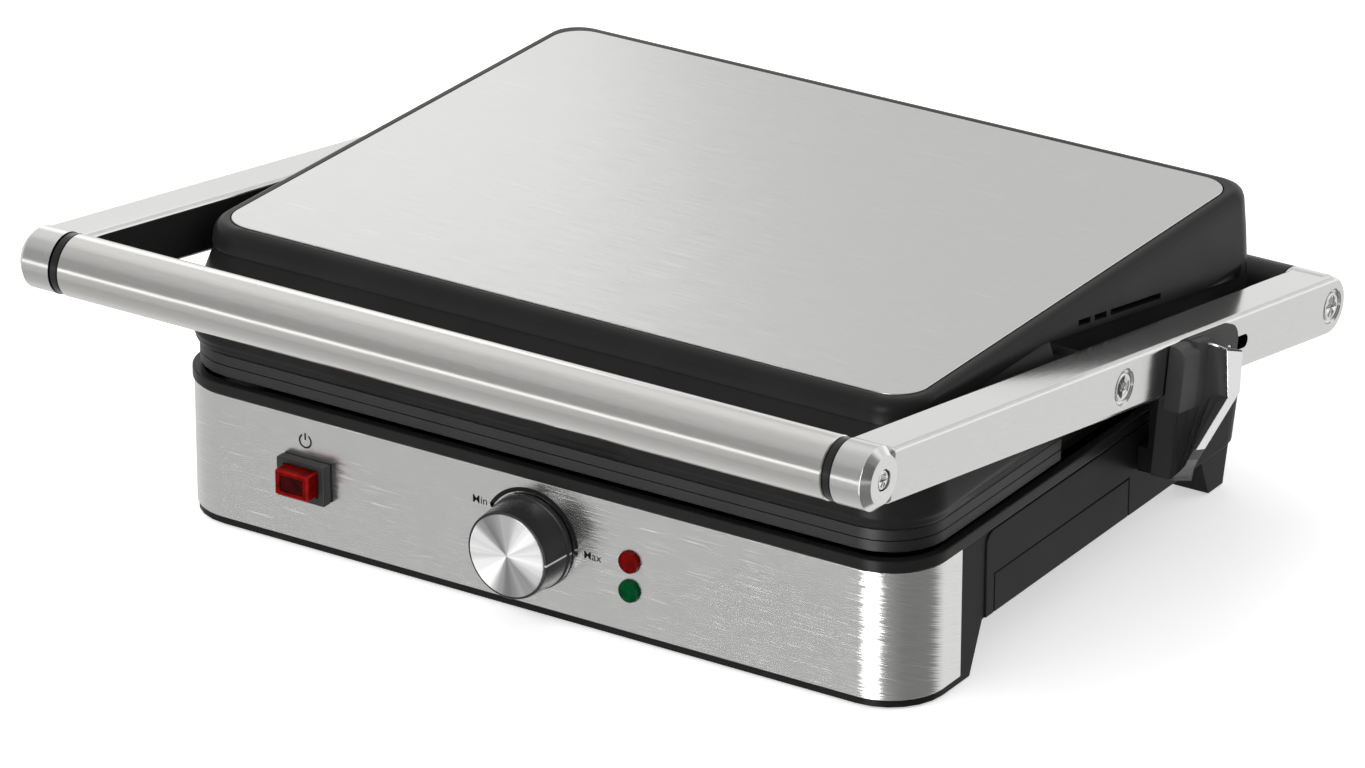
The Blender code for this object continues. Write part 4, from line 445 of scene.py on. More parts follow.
def brushed_steel(name, colour, roughness, tip, glint_strength):
    """Steel with its grain along U, in metres, on the piece's grain map."""
    material, tree, shader = new_material(name)
    streaks = streaked(tree, *STREAKS)
    fine = streaked(tree, *FINE_STREAKS)
    scratches = streaked(tree, *SCRATCH_GLINTS)
    patches = streaked(tree, *PATCHES)
    # The long scratches are painted lighter than the steel: a painted glint, on top of the fine
    # streaks' own tone.
    painted_glints = maths(tree, "MULTIPLY", remap(tree, scratches, 0.66, 0.74, 0.0, glint_strength),
                   remap(tree, patches, 0.42, 0.62, 0.0, 1.0))
    shade = maths(tree, "MULTIPLY_ADD", painted_glints, 1.0, remap(tree, fine, 0.25, 0.75, 0.0, 0.5))
    tint(tree, shader, shade, shaded(colour, 0.94), shaded(colour, 1.22))
    shader.inputs["Metallic"].default_value = 1.0
    vary_roughness(tree, shader, fine, roughness)
    tipped(tree, shader, streaks, tip, tip * 0.25)
    return material


# name, colour, roughness, how far the streaks tip the surface, and how bright the
# painted glints on the long scratches are
STEEL_BAND = brushed_steel("steel_band_brushed", (0.69, 0.69, 0.68), 0.20, 0.075, 0.9)
STEEL_TOP = brushed_steel("steel_top_brushed", (0.60, 0.60, 0.59), 0.34, 0.05, 0.45)
STEEL_ARM = brushed_steel("steel_arm_satin", (0.62, 0.62, 0.61), 0.17, 0.008, 0.1)
STEEL_TUBE = brushed_steel("steel_tube_satin", (0.70, 0.69, 0.67), 0.16, 0.02, 0.2)
# The end caps and hinge eyes take a lighter copy of the arms' steel: painted light, for their
# rounded sides, which see a darker part of the room.
STEEL_CAP_PAINTED_LIGHT = brushed_steel("steel_cap_satin", (0.68, 0.68, 0.67), 0.18, 0.008, 0.1)


def spun_metal(name, colour, roughness):
    """A dial face turned on a lathe: rings so fine that light spreads in wedges, with light and
    dark wedges also painted into its colour.
    """
    material, tree, shader = new_material(name)
    rings = streaked(tree, *LATHE_RINGS)
    painted_wedges = streaked(tree, *PAINTED_WEDGES)
    # Light and dark wedges painted into the colour, a painted reflection, times the lathe rings'
    # own tone.
    both = maths(tree, "MULTIPLY", remap(tree, rings, 0.2, 0.8, 0.70, 1.0),
                 remap(tree, painted_wedges, 0.39, 0.61, 0.15, 1.0))
    tint(tree, shader, both, shaded(colour, 0.30), colour)
    shader.inputs["Metallic"].default_value = 1.0
    shader.inputs["Roughness"].default_value = roughness
    shader.inputs["Anisotropic"].default_value = 0.95
    shader.inputs["Anisotropic Rotation"].default_value = 0.25
    tangent = tree.nodes.new("ShaderNodeTangent")
    tangent.direction_type = "UV_MAP"
    tangent.uv_map = GRAIN_MAP
    tree.links.new(tangent.outputs["Tangent"], shader.inputs["Tangent"])
    bump(tree, shader, rings, 0.10, 0.00002)
    return material


SPUN = spun_metal("dial_face_spun", (0.84, 0.84, 0.84), 0.36)
print("steels:", [material.name for material in bpy.data.materials if "steel" in material.name])

# %% [markdown]
# ## Moulded plastic
# The black housings come from a spark-eroded mould, which leaves a fine, even grain. Fine noise
# as a bump breaks the highlight, and a slower noise varies the roughness a little, as handling
# does.

# %% Moulded plastic, rubber and coatings


def moulded(name, colour, roughness, grain, scale, shine):
    """Plastic with a fine mould grain."""
    material, tree, shader = new_material(name)
    shader.inputs["Specular IOR Level"].default_value = shine
    here = coordinates(tree, "Object")
    texture = noise(tree, here, scale, 2.0)
    slow = noise(tree, here, 45.0, 2.0)
    tint(tree, shader, slow, shaded(colour, 0.88), shaded(colour, 1.12))
    vary_roughness(tree, shader, slow, roughness)
    bump(tree, shader, texture, 0.25, grain)
    return material


# name, colour, roughness, depth of the grain in metres, its scale, shine
BLACK = moulded("housing_satin_black", (0.019, 0.019, 0.019), 0.32, 0.00004, 2600.0, 0.11)
BLACK_SIDE = moulded("panel_satin_black", (0.018, 0.018, 0.018), 0.36, 0.00004, 2600.0, 0.06)
BLACK_GLOSS = moulded("trim_black", (0.012, 0.012, 0.012), 0.24, 0.00002, 2600.0, 0.35)
BLACK_DEEP = moulded("inner_black", (0.006, 0.006, 0.006), 0.55, 0.00004, 2600.0, 0.12)
RUBBER = moulded("rubber_black", (0.014, 0.014, 0.014), 0.80, 0.00010, 1400.0, 0.2)
COATING = moulded("plate_coating", (0.012, 0.012, 0.012), 0.42, 0.00008, 1500.0, 0.35)
# The lever's black is lighter than the housing's: painted light, making up for the shade the lever
# sits in.
BLACK_LEVER_PAINTED_LIGHT = moulded("lever_black", (0.060, 0.060, 0.060), 0.38, 0.00002, 2600.0, 0.10)
BLACK_KNOB = moulded("knob_black", (0.034, 0.034, 0.034), 0.30, 0.00002, 2600.0, 0.3)
INSULATOR = moulded("insulator_pale", (0.74, 0.71, 0.64), 0.55, 0.00004, 2600.0, 0.5)
INK = moulded("printed_ink", (0.012, 0.012, 0.012), 0.60, 0.00001, 4000.0, 0.1)
WHITE_INK = moulded("white_line", (0.78, 0.78, 0.76), 0.50, 0.00001, 4000.0, 0.2)


def plain_metal(name, colour, roughness):
    """Metal with no brushing, only a faint mottle."""
    material, tree, shader = new_material(name)
    mottle = noise(tree, coordinates(tree, "Object"), 900.0, 2.0)
    tint(tree, shader, mottle, shaded(colour, 0.94), colour)
    shader.inputs["Metallic"].default_value = 1.0
    vary_roughness(tree, shader, mottle, roughness, 0.03)
    bump(tree, shader, mottle, 0.08, 0.00002)
    return material


SCREW_STEEL = plain_metal("screw_plated", (0.72, 0.72, 0.72), 0.20)
SHEET_METAL = plain_metal("reflector_sheet", (0.16, 0.16, 0.16), 0.50)
HEATER_METAL = plain_metal("heater_sheath", (0.16, 0.14, 0.13), 0.42)
BUSH_BRASS = plain_metal("bush_brass", (0.73, 0.55, 0.26), 0.30)
TRIM_METAL = plain_metal("lever_strip", (0.80, 0.80, 0.80), 0.26)
print("finishes:", len(bpy.data.materials))

# %% [markdown]
# ## Coloured lenses
# The button and the lamps are clear, coloured plastic over a dark cavity. Light enters, takes
# the colour and comes back weakly, so they look deep rather than painted. A dark, strong colour
# that shifts a little across the piece gives that depth, under a smooth surface.

# %% Coloured lenses
LENS_ROUGHNESS = 0.12
LENS_IOR = 1.49
LENS_SHINE = 0.04


def lens(name, colour, deep):
    """Deep coloured plastic with a smooth surface."""
    material, tree, shader = new_material(name)
    shade = noise(tree, coordinates(tree, "Object"), 260.0, 2.0)
    tint(tree, shader, remap(tree, shade, 0.35, 0.65, 0.0, 1.0), deep, colour)
    shader.inputs["Roughness"].default_value = LENS_ROUGHNESS
    shader.inputs["IOR"].default_value = LENS_IOR
    shader.inputs["Specular IOR Level"].default_value = LENS_SHINE
    return material


RED_LENS = lens("lens_red", (0.23, 0.004, 0.003), (0.12, 0.002, 0.002))
GREEN_LENS = lens("lens_green", (0.0004, 0.090, 0.024), (0.0003, 0.060, 0.015))
RED_DEEP = lens("lens_red_deep", (0.060, 0.003, 0.003), (0.030, 0.002, 0.002))
# A brighter red for the button's rounded edges: painted light, the glow of light coming through the
# clear plastic's edges.
RED_PAINTED_EDGE_GLOW = lens("lens_red_edge", (0.42, 0.010, 0.008), (0.30, 0.006, 0.005))
print("lenses:", RED_LENS.name, GREEN_LENS.name)

# %% [markdown]
# ## Dress the solid model
# Pieces whose solids already have the right shape only need their finish. A table from finish to
# pieces keeps that readable. The body of each solid is noted first, since every new piece must
# move with the same body.

# %% Give each solid its finish
BODY_OF = {name: node.parent.name.split(":")[1] for name, node in nodes.items()}
FINISH_OF = {
    INSULATOR: ("thermostat_body", "terminal_block"),
    SCREW_STEEL: ("thermostat_shaft", "lock_pin", "bottom_screw_front_left",
                  "bottom_screw_front_right", "bottom_screw_rear_left", "bottom_screw_rear_right"),
    SHEET_METAL: ("lower_heat_shield", "upper_heat_shield"),
    HEATER_METAL: ("lower_heater", "upper_heater"),
    BUSH_BRASS: ("pivot_bush_left", "pivot_bush_right"),
}
for material, names in FINISH_OF.items():
    for name in names:
        for slot in nodes[name].material_slots:
            slot.material = material

# %% [markdown]
# ## Building pieces in the appliance's directions
# The solids are faceted, which is right for a mechanism but coarse under a raking light. The
# pieces nearest the eye are made again at the same sizes, with finer corners and small rounded
# edges. An outline with rounded corners and a stack of such outlines are the two shapes that
# most moulded housings need.

# %% Shape helpers
FINE = 14
TINY = 0.001
QUARTER_TURN = (0, 30, 60, 90)


def arc(centre, radius, start, end, steps=FINE):
    """Points on an arc, both ends included, angles in degrees."""
    points = []
    for step in range(steps + 1):
        angle = math.radians(start + (end - start) * step / steps)
        points.append((centre[0] + radius * math.cos(angle), centre[1] + radius * math.sin(angle)))
    return points


def rounded(x0, x1, y0, y1, low_radius, high_radius, steps=FINE):
    """A rectangle with rounded corners, the radii given at y0 and at y1."""
    points = arc((x1 - low_radius, y0 + low_radius), low_radius, -90, 0, steps)
    points += arc((x1 - high_radius, y1 - high_radius), high_radius, 0, 90, steps)
    points += arc((x0 + high_radius, y1 - high_radius), high_radius, 90, 180, steps)
    points += arc((x0 + low_radius, y0 + low_radius), low_radius, 180, 270, steps)
    return points


def oblong(x0, x1, y0, y1):
    """A rectangle with sharp corners."""
    return [(x0, y0), (x1, y0), (x1, y1), (x0, y1)]


def rolled(radius, run, edge):
    """The rounded end of a turned profile, from its flat face out to its side."""
    return [(radius - edge + edge * math.sin(math.radians(angle)),
             run + edge - edge * math.cos(math.radians(angle))) for angle in QUARTER_TURN]


def stacked(rings):
    """A closed solid through rings of (x, y, z) millimetres."""
    solid = bmesh.new()
    rows = [[solid.verts.new(place(*point)) for point in ring] for ring in rings]
    for lower, upper in zip(rows, rows[1:]):
        for index in range(len(lower)):
            after = (index + 1) % len(lower)
            solid.faces.new((lower[index], lower[after], upper[after], upper[index]))
    solid.faces.new(list(reversed(rows[0])))
    solid.faces.new(rows[-1])
    face_outward(solid)
    return solid


def face_outward(solid):
    """Make every face of a closed solid look outward."""
    bmesh.ops.recalc_face_normals(solid, faces=solid.faces)
    if solid.calc_volume(signed=True) < 0:
        bmesh.ops.reverse_faces(solid, faces=solid.faces)


def prism(outline, low, high, axis):
    """A flat outline given a thickness across X, Y or Z, in millimetres."""
    turn = {"X": lambda a, b, t: (t, a, b), "Y": lambda a, b, t: (a, t, b),
            "Z": lambda a, b, t: (a, b, t)}[axis]
    return stacked([[turn(a, b, t) for a, b in outline] for t in (low, high)])


def turned(profile, centre, axis, steps=64):
    """A closed (radius, run) profile turned about X, Y or Z through a centre."""
    solid = bmesh.new()
    rows = []
    for step in range(steps):
        angle = math.tau * step / steps
        row = []
        for radius, run in profile:
            across, up = radius * math.cos(angle), radius * math.sin(angle)
            spot = {"X": (run, across, up), "Y": (across, run, up),
                    "Z": (across, up, run)}[axis]
            row.append(solid.verts.new(place(*(Vector(centre) + Vector(spot)))))
        rows.append(row)
    for step in range(steps):
        here, there = rows[step], rows[(step + 1) % steps]
        for index in range(len(profile)):
            after = (index + 1) % len(profile)
            solid.faces.new((here[index], there[index], there[after], here[after]))
    bmesh.ops.remove_doubles(solid, verts=solid.verts, dist=TINY * MM)
    bmesh.ops.dissolve_degenerate(solid, edges=solid.edges, dist=TINY * MM)
    bare = [edge for edge in solid.edges if not edge.link_faces]
    bmesh.ops.delete(solid, geom=bare, context="EDGES")
    face_outward(solid)
    return solid


def soften(solid, width, segments=3, angle=30):
    """Round every edge sharper than an angle, the width in millimetres."""
    edges = [edge for edge in solid.edges
             if len(edge.link_faces) == 2 and edge.calc_face_angle(0) > math.radians(angle)]
    bmesh.ops.bevel(solid, geom=edges, offset=width * MM, segments=segments, profile=0.5,
                    affect="EDGES", clamp_overlap=True)


def smooth(piece, angle=30):
    """Smooth shading up to an angle, with each normal led by the largest face beside it."""
    mesh = piece.data
    mesh.shade_smooth()
    mesh.set_sharp_from_angle(angle=math.radians(angle))
    modifier = piece.modifiers.new("even", "WEIGHTED_NORMAL")
    modifier.keep_sharp = True
    modifier.weight = 100
    graph = bpy.context.evaluated_depsgraph_get()
    even = bpy.data.meshes.new_from_object(piece.evaluated_get(graph), depsgraph=graph)
    piece.modifiers.clear()
    piece.data = even
    bpy.data.meshes.remove(mesh)
    even.name = piece.name


def finished(name, solid, body, finish, replaces=(), angle=30):
    """Turn a solid into a piece that rides on a body and stands for its nodes."""
    mesh = bpy.data.meshes.new(name)
    solid.to_mesh(mesh)
    solid.free()
    piece = bpy.data.objects.new(name, mesh)
    bpy.context.scene.collection.objects.link(piece)
    mesh.materials.append(finish)
    smooth(piece, angle)
    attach(piece, body)
    if replaces:
        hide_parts(*replaces)
    return piece


def carve(piece, tool_solid, operation="DIFFERENCE"):
    """Cut or join a helper solid, and leave nothing of the helper behind."""
    mesh = bpy.data.meshes.new("helper")
    tool_solid.to_mesh(mesh)
    tool_solid.free()
    tool = bpy.data.objects.new("helper", mesh)
    bpy.context.scene.collection.objects.link(tool)
    modifier = piece.modifiers.new("carve", "BOOLEAN")
    modifier.operation = operation
    modifier.object = tool
    modifier.solver = "EXACT"
    graph = bpy.context.evaluated_depsgraph_get()
    carved = bpy.data.meshes.new_from_object(piece.evaluated_get(graph), depsgraph=graph)
    piece.modifiers.clear()
    old = piece.data
    piece.data = carved
    bpy.data.meshes.remove(old)
    bpy.data.objects.remove(tool, do_unlink=True)
    smooth(piece)
    return piece


def grain_map(piece, along, across):
    """A UV map in metres, with U along the brushing. Both are functions of a point in mm."""
    mesh = piece.data
    layer = mesh.uv_layers.new(name=GRAIN_MAP)
    for polygon in mesh.polygons:
        for loop in polygon.loop_indices:
            point = mesh.vertices[mesh.loops[loop].vertex_index].co / MM
            spot = Vector((point.x + MIDDLE_X, point.y + MIDDLE_Y, point.z))
            layer.data[loop].uv = (along(spot) * MM, across(spot) * MM)


# %% [markdown]
# ## The steel top plate
# A flat pressing, brushed from side to side, set in a narrow groove. Its edge is rolled, so a
# tiny bevel is enough. The grain runs along X, so U is simply x.

# %% Steel top plate
top_low, top_high = measured("top_plate")
TOP_RADIUS = 13.0
plate = prism(rounded(top_low.x, top_high.x, top_low.y, top_high.y, TOP_RADIUS, TOP_RADIUS),
              top_low.z, top_high.z, "Z")
soften(plate, 0.35, 3)
top_plate = finished("steel_top_plate", plate, "cover", STEEL_TOP, ("top_plate",))
grain_map(top_plate, lambda p: p.x, lambda p: p.y + p.z * 0.6)
print("top plate", [round(v, 1) for v in top_high - top_low])

# %% [markdown]
# ## The handle tube
# A drawn tube, brushed round its length. Sixty-four sides and a smooth surface make its long
# highlight run straight, which the eye checks first on any tube.

# %% Handle tube
tube_low, tube_high = measured("handle_tube")
TUBE_CENTRE = (tube_low + tube_high) / 2
TUBE_RADIUS = (tube_high.z - tube_low.z) / 2
TUBE_WALL, TUBE_EDGE = 1.4, 0.4
tube_half = (tube_high.x - tube_low.x) / 2
bore, shoulder = TUBE_RADIUS - TUBE_WALL, TUBE_RADIUS - TUBE_EDGE
profile = [(bore, -tube_half), (shoulder, -tube_half), (TUBE_RADIUS, -tube_half + TUBE_EDGE),
           (TUBE_RADIUS, tube_half - TUBE_EDGE), (shoulder, tube_half), (bore, tube_half)]
tube = finished("steel_handle_tube", turned(profile, TUBE_CENTRE, "X"), "lid_frame", STEEL_TUBE,
                ("handle_tube",))


def round_tube(point):
    """Distance round the tube's skin."""
    return math.atan2(point.z - TUBE_CENTRE.z, point.y - TUBE_CENTRE.y) * TUBE_RADIUS


grain_map(tube, lambda p: p.x, round_tube)
print("tube radius", round(TUBE_RADIUS, 2))

# %% [markdown]
# ## Copies of the solids with softened edges
# Moulded plastic has no knife edges. For the simpler pieces it's enough to copy the solid, join
# its faces, and round every edge with a narrow bevel. That thin rounded edge catches the light
# as a fine line, and it is most of what makes plastic look moulded.

# %% Softened copies
NODE_WELD = 0.003
FLAT_ANGLE = 0.4
LEAST_KEPT, MOST_KEPT = 0.9, 1.02


def solid_of(name):
    """A node's mesh as one closed body, with its flat faces merged."""
    solid = bmesh.new()
    solid.from_mesh(nodes[name].data)
    solid.transform(nodes[name].matrix_world)
    bmesh.ops.remove_doubles(solid, verts=solid.verts, dist=NODE_WELD * MM)
    bmesh.ops.dissolve_limit(solid, angle_limit=math.radians(FLAT_ANGLE), verts=solid.verts,
                             edges=solid.edges)
    return solid


def softened(name, width, finish):
    """A softened copy that stands for one node and rides on the same body."""
    solid = solid_of(name)
    before = solid.calc_volume()
    soften(solid, width, 2, 40)
    kept = solid.calc_volume() / before
    if not LEAST_KEPT < kept < MOST_KEPT:
        print("check", name, "volume", round(kept, 3))
    return finished(name + "_moulded", solid, BODY_OF[name], finish, (name,))


SOFT_COPIES = (
    # finish, width of the rounded edges in millimetres, nodes
    (BLACK_SIDE, 0.5, ("base_housing",)),
    (BLACK_SIDE, 0.4, ("side_panel_left", "side_panel_right")),
    (BLACK_SIDE, 0.5, ("drip_tray",)),
    (BLACK_LEVER_PAINTED_LIGHT, 0.4, ("lock_slider",)),
    (BLACK, 0.7, ("lock_keeper",)),
    (COATING, 0.4, ("lower_grill_plate", "upper_grill_plate")),
    (BLACK, 0.5, ("hinge_barrel",)),
    (BLACK, 0.4, ("cord_inlet",)),
    (BLACK_DEEP, 0.3, ("bottom_cover",)),
    (RUBBER, 0.8, ("rear_rest_left", "rear_rest_right")),
    (RUBBER, 0.5, ("foot_front_left", "foot_front_right")),
    (RUBBER, 0.4, ("foot_rear_left", "foot_rear_right")),
    (BLACK_KNOB, 0.35, ("switch_bezel",)),
    (BLACK, 0.3, ("arm_liner_left", "arm_liner_right")),
)
for finish, width, names in SOFT_COPIES:
    for name in names:
        softened(name, width, finish)
print("softened copies:", sum(len(names) for _, _, names in SOFT_COPIES))

# %% [markdown]
# ## The rim over the band
# A black ring closes the top of the housing, a little proud of the band. Its corners are large
# and near the eye, so they are turned finely, and its edge is rounded.

# %% Base rim
rim_low, rim_high = measured("base_rim")
RIM_FRONT_RADIUS = 24.1
RIM_REAR_RADIUS = 12.7
RIM_WIDTH = 4.2


def ring_between(outer, inner, low, high):
    """A flat ring between two outlines of the same length, closed and thick."""
    solid = bmesh.new()
    rows = []
    for z, outline in ((low, outer), (high, outer), (high, inner), (low, inner)):
        rows.append([solid.verts.new(place(x, y, z)) for x, y in outline])
    for row, after_row in zip(rows, rows[1:] + rows[:1]):
        for index in range(len(row)):
            after = (index + 1) % len(row)
            solid.faces.new((row[index], row[after], after_row[after], after_row[index]))
    face_outward(solid)
    return solid


def rim_outline(inset):
    """The rim's outline, drawn in by an inset."""
    return rounded(rim_low.x + inset, rim_high.x - inset, rim_low.y + inset, rim_high.y - inset,
                   RIM_FRONT_RADIUS - inset, RIM_REAR_RADIUS - inset)


rim = ring_between(rim_outline(0), rim_outline(RIM_WIDTH), rim_low.z, rim_high.z)
soften(rim, 0.6, 3)
finished("rim_ring", rim, "base", BLACK, ("base_rim",))
print("rim", [round(v, 1) for v in rim_high - rim_low])

# %% [markdown]
# ## The steel front band
# One strip of brushed sheet runs round the front and both front corners. The grain follows the
# strip, so U is the distance along it, measured round the corner as on a tape. Its top and
# bottom edges are rolled a little, which gives the bright line along the top.

# %% Steel band
BAND_RADIUS = 23.4
BAND_SHEET = 0.8
BAND_FINE = 26
LAMP_RADIUS = 4.3
SHAFT_HOLE = 3.6
SWITCH_LEDGE = 1.4
GAP = 0.3
DRILL = 5
band_low, band_high = measured("steel_band")


def band_outline(inset):
    """Half of the strip's path, then its mirror image, from the right end to the left."""
    edge = band_high.x - inset
    centre = (band_high.x - BAND_RADIUS, BAND_RADIUS)
    half = [(edge, band_high.y)] + arc(centre, BAND_RADIUS - inset, 0, -90, BAND_FINE)
    return half + [(-x, y) for x, y in reversed(half)]


def tape(point):
    """Distance along the strip from the middle of the front."""
    flat = band_high.x - BAND_RADIUS
    beyond = abs(point.x) - flat
    if beyond <= 0:
        return point.x
    round_corner = math.atan2(beyond, max(BAND_RADIUS - point.y, 0.0)) * BAND_RADIUS
    return math.copysign(flat + round_corner + max(point.y - BAND_RADIUS, 0.0), point.x)


def on_panel(name):
    """A node's middle, brought forward to the panel's face."""
    x, _, z = middle_of(name)
    return (x, 0, z)


def drill(centre, radius, steps):
    """A round cutter through the band."""
    return turned([(0, -DRILL), (radius, -DRILL), (radius, DRILL), (0, DRILL)], centre, "Y", steps)


sheet = band_outline(0) + list(reversed(band_outline(BAND_SHEET)))
strip = prism(sheet, band_low.z, band_high.z, "Z")
soften(strip, 0.35, 3, 60)
band = finished("front_band", strip, "base", STEEL_BAND, ("steel_band",))
KNOB_CENTRE = on_panel("thermostat_shaft")
bezel_low, bezel_high = measured("switch_bezel")
ledge = SWITCH_LEDGE - GAP
switch_hole = oblong(bezel_low.x + ledge, bezel_high.x - ledge,
                     bezel_low.z + ledge / 2, bezel_high.z - ledge / 2)
for hole in (drill(on_panel("lamp_red"), LAMP_RADIUS + GAP, 48),
             drill(on_panel("lamp_green"), LAMP_RADIUS + GAP, 48),
             drill(KNOB_CENTRE, SHAFT_HOLE, 32),
             prism(switch_hole, -DRILL, DRILL, "Y")):
    carve(band, hole)
grain_map(band, tape, lambda p: p.z + p.y * 0.37)
print("band strip", round(tape(Vector((band_high.x, band_high.y, 0))) * 2, 1), "mm long")

# %% [markdown]
# ## The knob
# A tapered grip with a bright face set into it. The face is turned on a lathe, so its grain runs
# in circles: U goes round the rim and V goes outward. That's what makes light and dark wedges,
# together with painted wedges of light and shade in the face's colour.
# A white line on the grip shows the setting.

# %% Knob
grip_low, grip_high = measured("knob_grip")
disc_low, disc_high = measured("knob_disc")
KNOB_RADIUS = (grip_high.x - grip_low.x) / 2
NOSE_RADIUS, NOSE_EDGE = 17.4, 0.55
DISC_RADIUS = (disc_high.x - disc_low.x) / 2
DISC_EDGE = 0.25
DISH_DEPTH, DISH_MARGIN, DISH_SLOPE = 0.06, 0.6, 0.3
WELL_RADIUS, WELL_DEPTH, WELL_EDGE = DISC_RADIUS + 0.15, 0.95, 0.2
BORE_RADIUS, BORE_END = 3.2, -8.0
FACE_Y = disc_low.y
SKIRT, SKIRT_EDGE = 2.2, 0.3
# The groove in front of the skirt: how far in from the skirt's side, and how far ahead of it
GROOVE = ((0.55, 1.35), (0.85, 1.1), (0.85, 0.8), (0.35, 0.55), (0, 0))

grip_face = FACE_Y + GAP
well_floor = FACE_Y + WELL_DEPTH
profile = [(0, well_floor), (WELL_RADIUS, well_floor), (WELL_RADIUS, grip_face + 0.25),
           (WELL_RADIUS + WELL_EDGE, grip_face)]
profile += rolled(NOSE_RADIUS, grip_face, NOSE_EDGE)
profile += [(KNOB_RADIUS - inward, -SKIRT - toward) for inward, toward in GROOVE]
profile += [(KNOB_RADIUS, grip_high.y - SKIRT_EDGE), (KNOB_RADIUS - SKIRT_EDGE, grip_high.y),
            (BORE_RADIUS, grip_high.y), (BORE_RADIUS, BORE_END), (0, BORE_END)]
finished("knob_body", turned(profile, KNOB_CENTRE, "Y", 128), "knob", BLACK_KNOB,
         ("knob_grip",))
dish = DISC_RADIUS - DISH_MARGIN
profile = [(0, FACE_Y + DISH_DEPTH), (dish - DISH_SLOPE, FACE_Y + DISH_DEPTH), (dish, FACE_Y),
           (DISC_RADIUS - DISC_EDGE, FACE_Y), (DISC_RADIUS, FACE_Y + DISC_EDGE),
           (DISC_RADIUS, disc_high.y), (0, disc_high.y)]
disc = finished("knob_face", turned(profile, KNOB_CENTRE, "Y", 128), "knob", SPUN,
                ("knob_disc",), 20)


def polar_map(piece, centre, radius):
    """A UV map that runs round a centre: U along the circumference, V outward."""
    mesh = piece.data
    layer = mesh.uv_layers.new(name=GRAIN_MAP)
    for polygon in mesh.polygons:
        corners = [mesh.vertices[index].co for index in polygon.vertices]
        middle = sum(corners, Vector()) / len(corners)
        ahead_angle = math.atan2(middle.z / MM - centre[2], middle.x / MM + MIDDLE_X - centre[0])
        for loop in polygon.loop_indices:
            point = mesh.vertices[mesh.loops[loop].vertex_index].co / MM
            across = Vector((point.x + MIDDLE_X - centre[0], point.z - centre[2]))
            angle = math.atan2(across.y, across.x) if across.length > 0.01 else ahead_angle
            angle += math.tau * round((ahead_angle - angle) / math.tau)
            layer.data[loop].uv = (angle * radius * MM, (across.length + point.y * 0.5) * MM)


polar_map(disc, KNOB_CENTRE, DISC_RADIUS / 2)
POINTER_HALF = 0.35


def pointer(name, side_view):
    """A white line on the grip. Its side view gives distance from the axis, and depth."""
    outline = [(KNOB_CENTRE[0] + away, y) for away, y in side_view]
    line = prism(outline, KNOB_CENTRE[2] - POINTER_HALF, KNOB_CENTRE[2] + POINTER_HALF, "Z")
    finished(name, line, "knob", WHITE_INK)


pointer("knob_pointer", [
    (DISC_RADIUS + 0.3, grip_face - 0.04), (NOSE_RADIUS - 0.2, grip_face - 0.04),
    (NOSE_RADIUS + 0.06, grip_face + 0.3), (KNOB_RADIUS - 0.52, -SKIRT - 1.4),
    (KNOB_RADIUS - 0.9, -SKIRT - 1.4), (DISC_RADIUS + 0.3, grip_face + 0.4)])
pointer("knob_pointer_foot", [
    (KNOB_RADIUS - 0.3, -SKIRT - 0.2), (KNOB_RADIUS + 0.05, -SKIRT),
    (KNOB_RADIUS + 0.05, grip_high.y - 0.3), (KNOB_RADIUS - 0.3, grip_high.y - 0.3)])
print("knob radius", round(KNOB_RADIUS, 1), "face radius", round(DISC_RADIUS, 1))

# %% [markdown]
# ## Lamps and button
# Each lamp is a short clear cylinder with a flat face. The button is a hollow box of clear red
# plastic with a frame moulded inside it, so its front shows a rectangle within a rectangle. The
# inner block is a darker red and sits in a shallow pocket.

# %% Lamps and button
LAMPS = (("lamp_red", RED_LENS, "red_lens"), ("lamp_green", GREEN_LENS, "green_lens"))
LAMP_EDGE, LAMP_DISH = 0.4, 0.18
for name, glass, slot in LAMPS:
    low, high = measured(name)
    profile = [(0, low.y + LAMP_DISH), (LAMP_RADIUS - 1.15, low.y + LAMP_DISH),
               (LAMP_RADIUS - 0.85, low.y)]
    profile += rolled(LAMP_RADIUS, low.y, LAMP_EDGE)
    profile += [(LAMP_RADIUS, high.y), (0, high.y)]
    finished(name + "_cap", turned(profile, on_panel(name), "Y", 64), "base", glass,
             (name,))

FRAME_X, FRAME_Z, POCKET = 2.3, 1.9, 0.7
INSERT_GAP, INSERT_SUNK = 0.3, 0.2
SQUARE_ON = 0.995
button_low, button_high = measured("power_button")


def button_block(x_margin, z_margin, front, rear):
    """A block as large as the button's front, less a margin on each side."""
    outline = oblong(button_low.x + x_margin, button_high.x - x_margin,
                     button_low.z + z_margin, button_high.z - z_margin)
    return prism(outline, front, rear, "Y")


button = button_block(0, 0, button_low.y, button_high.y)
soften(button, 0.8, 4)
button = finished("button_box", button, "button", RED_LENS, ("power_button",))
carve(button, button_block(FRAME_X, FRAME_Z, button_low.y - 1, button_low.y + POCKET))
# The rounded edges take the brighter red: a painted glow of light through the edges.
button.data.materials.append(RED_PAINTED_EDGE_GLOW)
for polygon in button.data.polygons:
    if max(abs(part) for part in polygon.normal) < SQUARE_ON:
        polygon.material_index = 1
insert = button_block(FRAME_X + INSERT_GAP, FRAME_Z + INSERT_GAP,
                      button_low.y + INSERT_SUNK, button_low.y + POCKET)
soften(insert, 0.3, 3)
finished("button_insert", insert, "button", RED_DEEP)
print("button front", round(button_high.x - button_low.x, 1), "x",
      round(button_high.z - button_low.z, 1))

# %% [markdown]
# ## Printed marks
# The scale round the knob, the words at its ends and the switch's power sign are printed on the
# band. Ink has almost no height, so each mark is a sheet a few hundredths of a millimetre thick
# that lies on the steel.

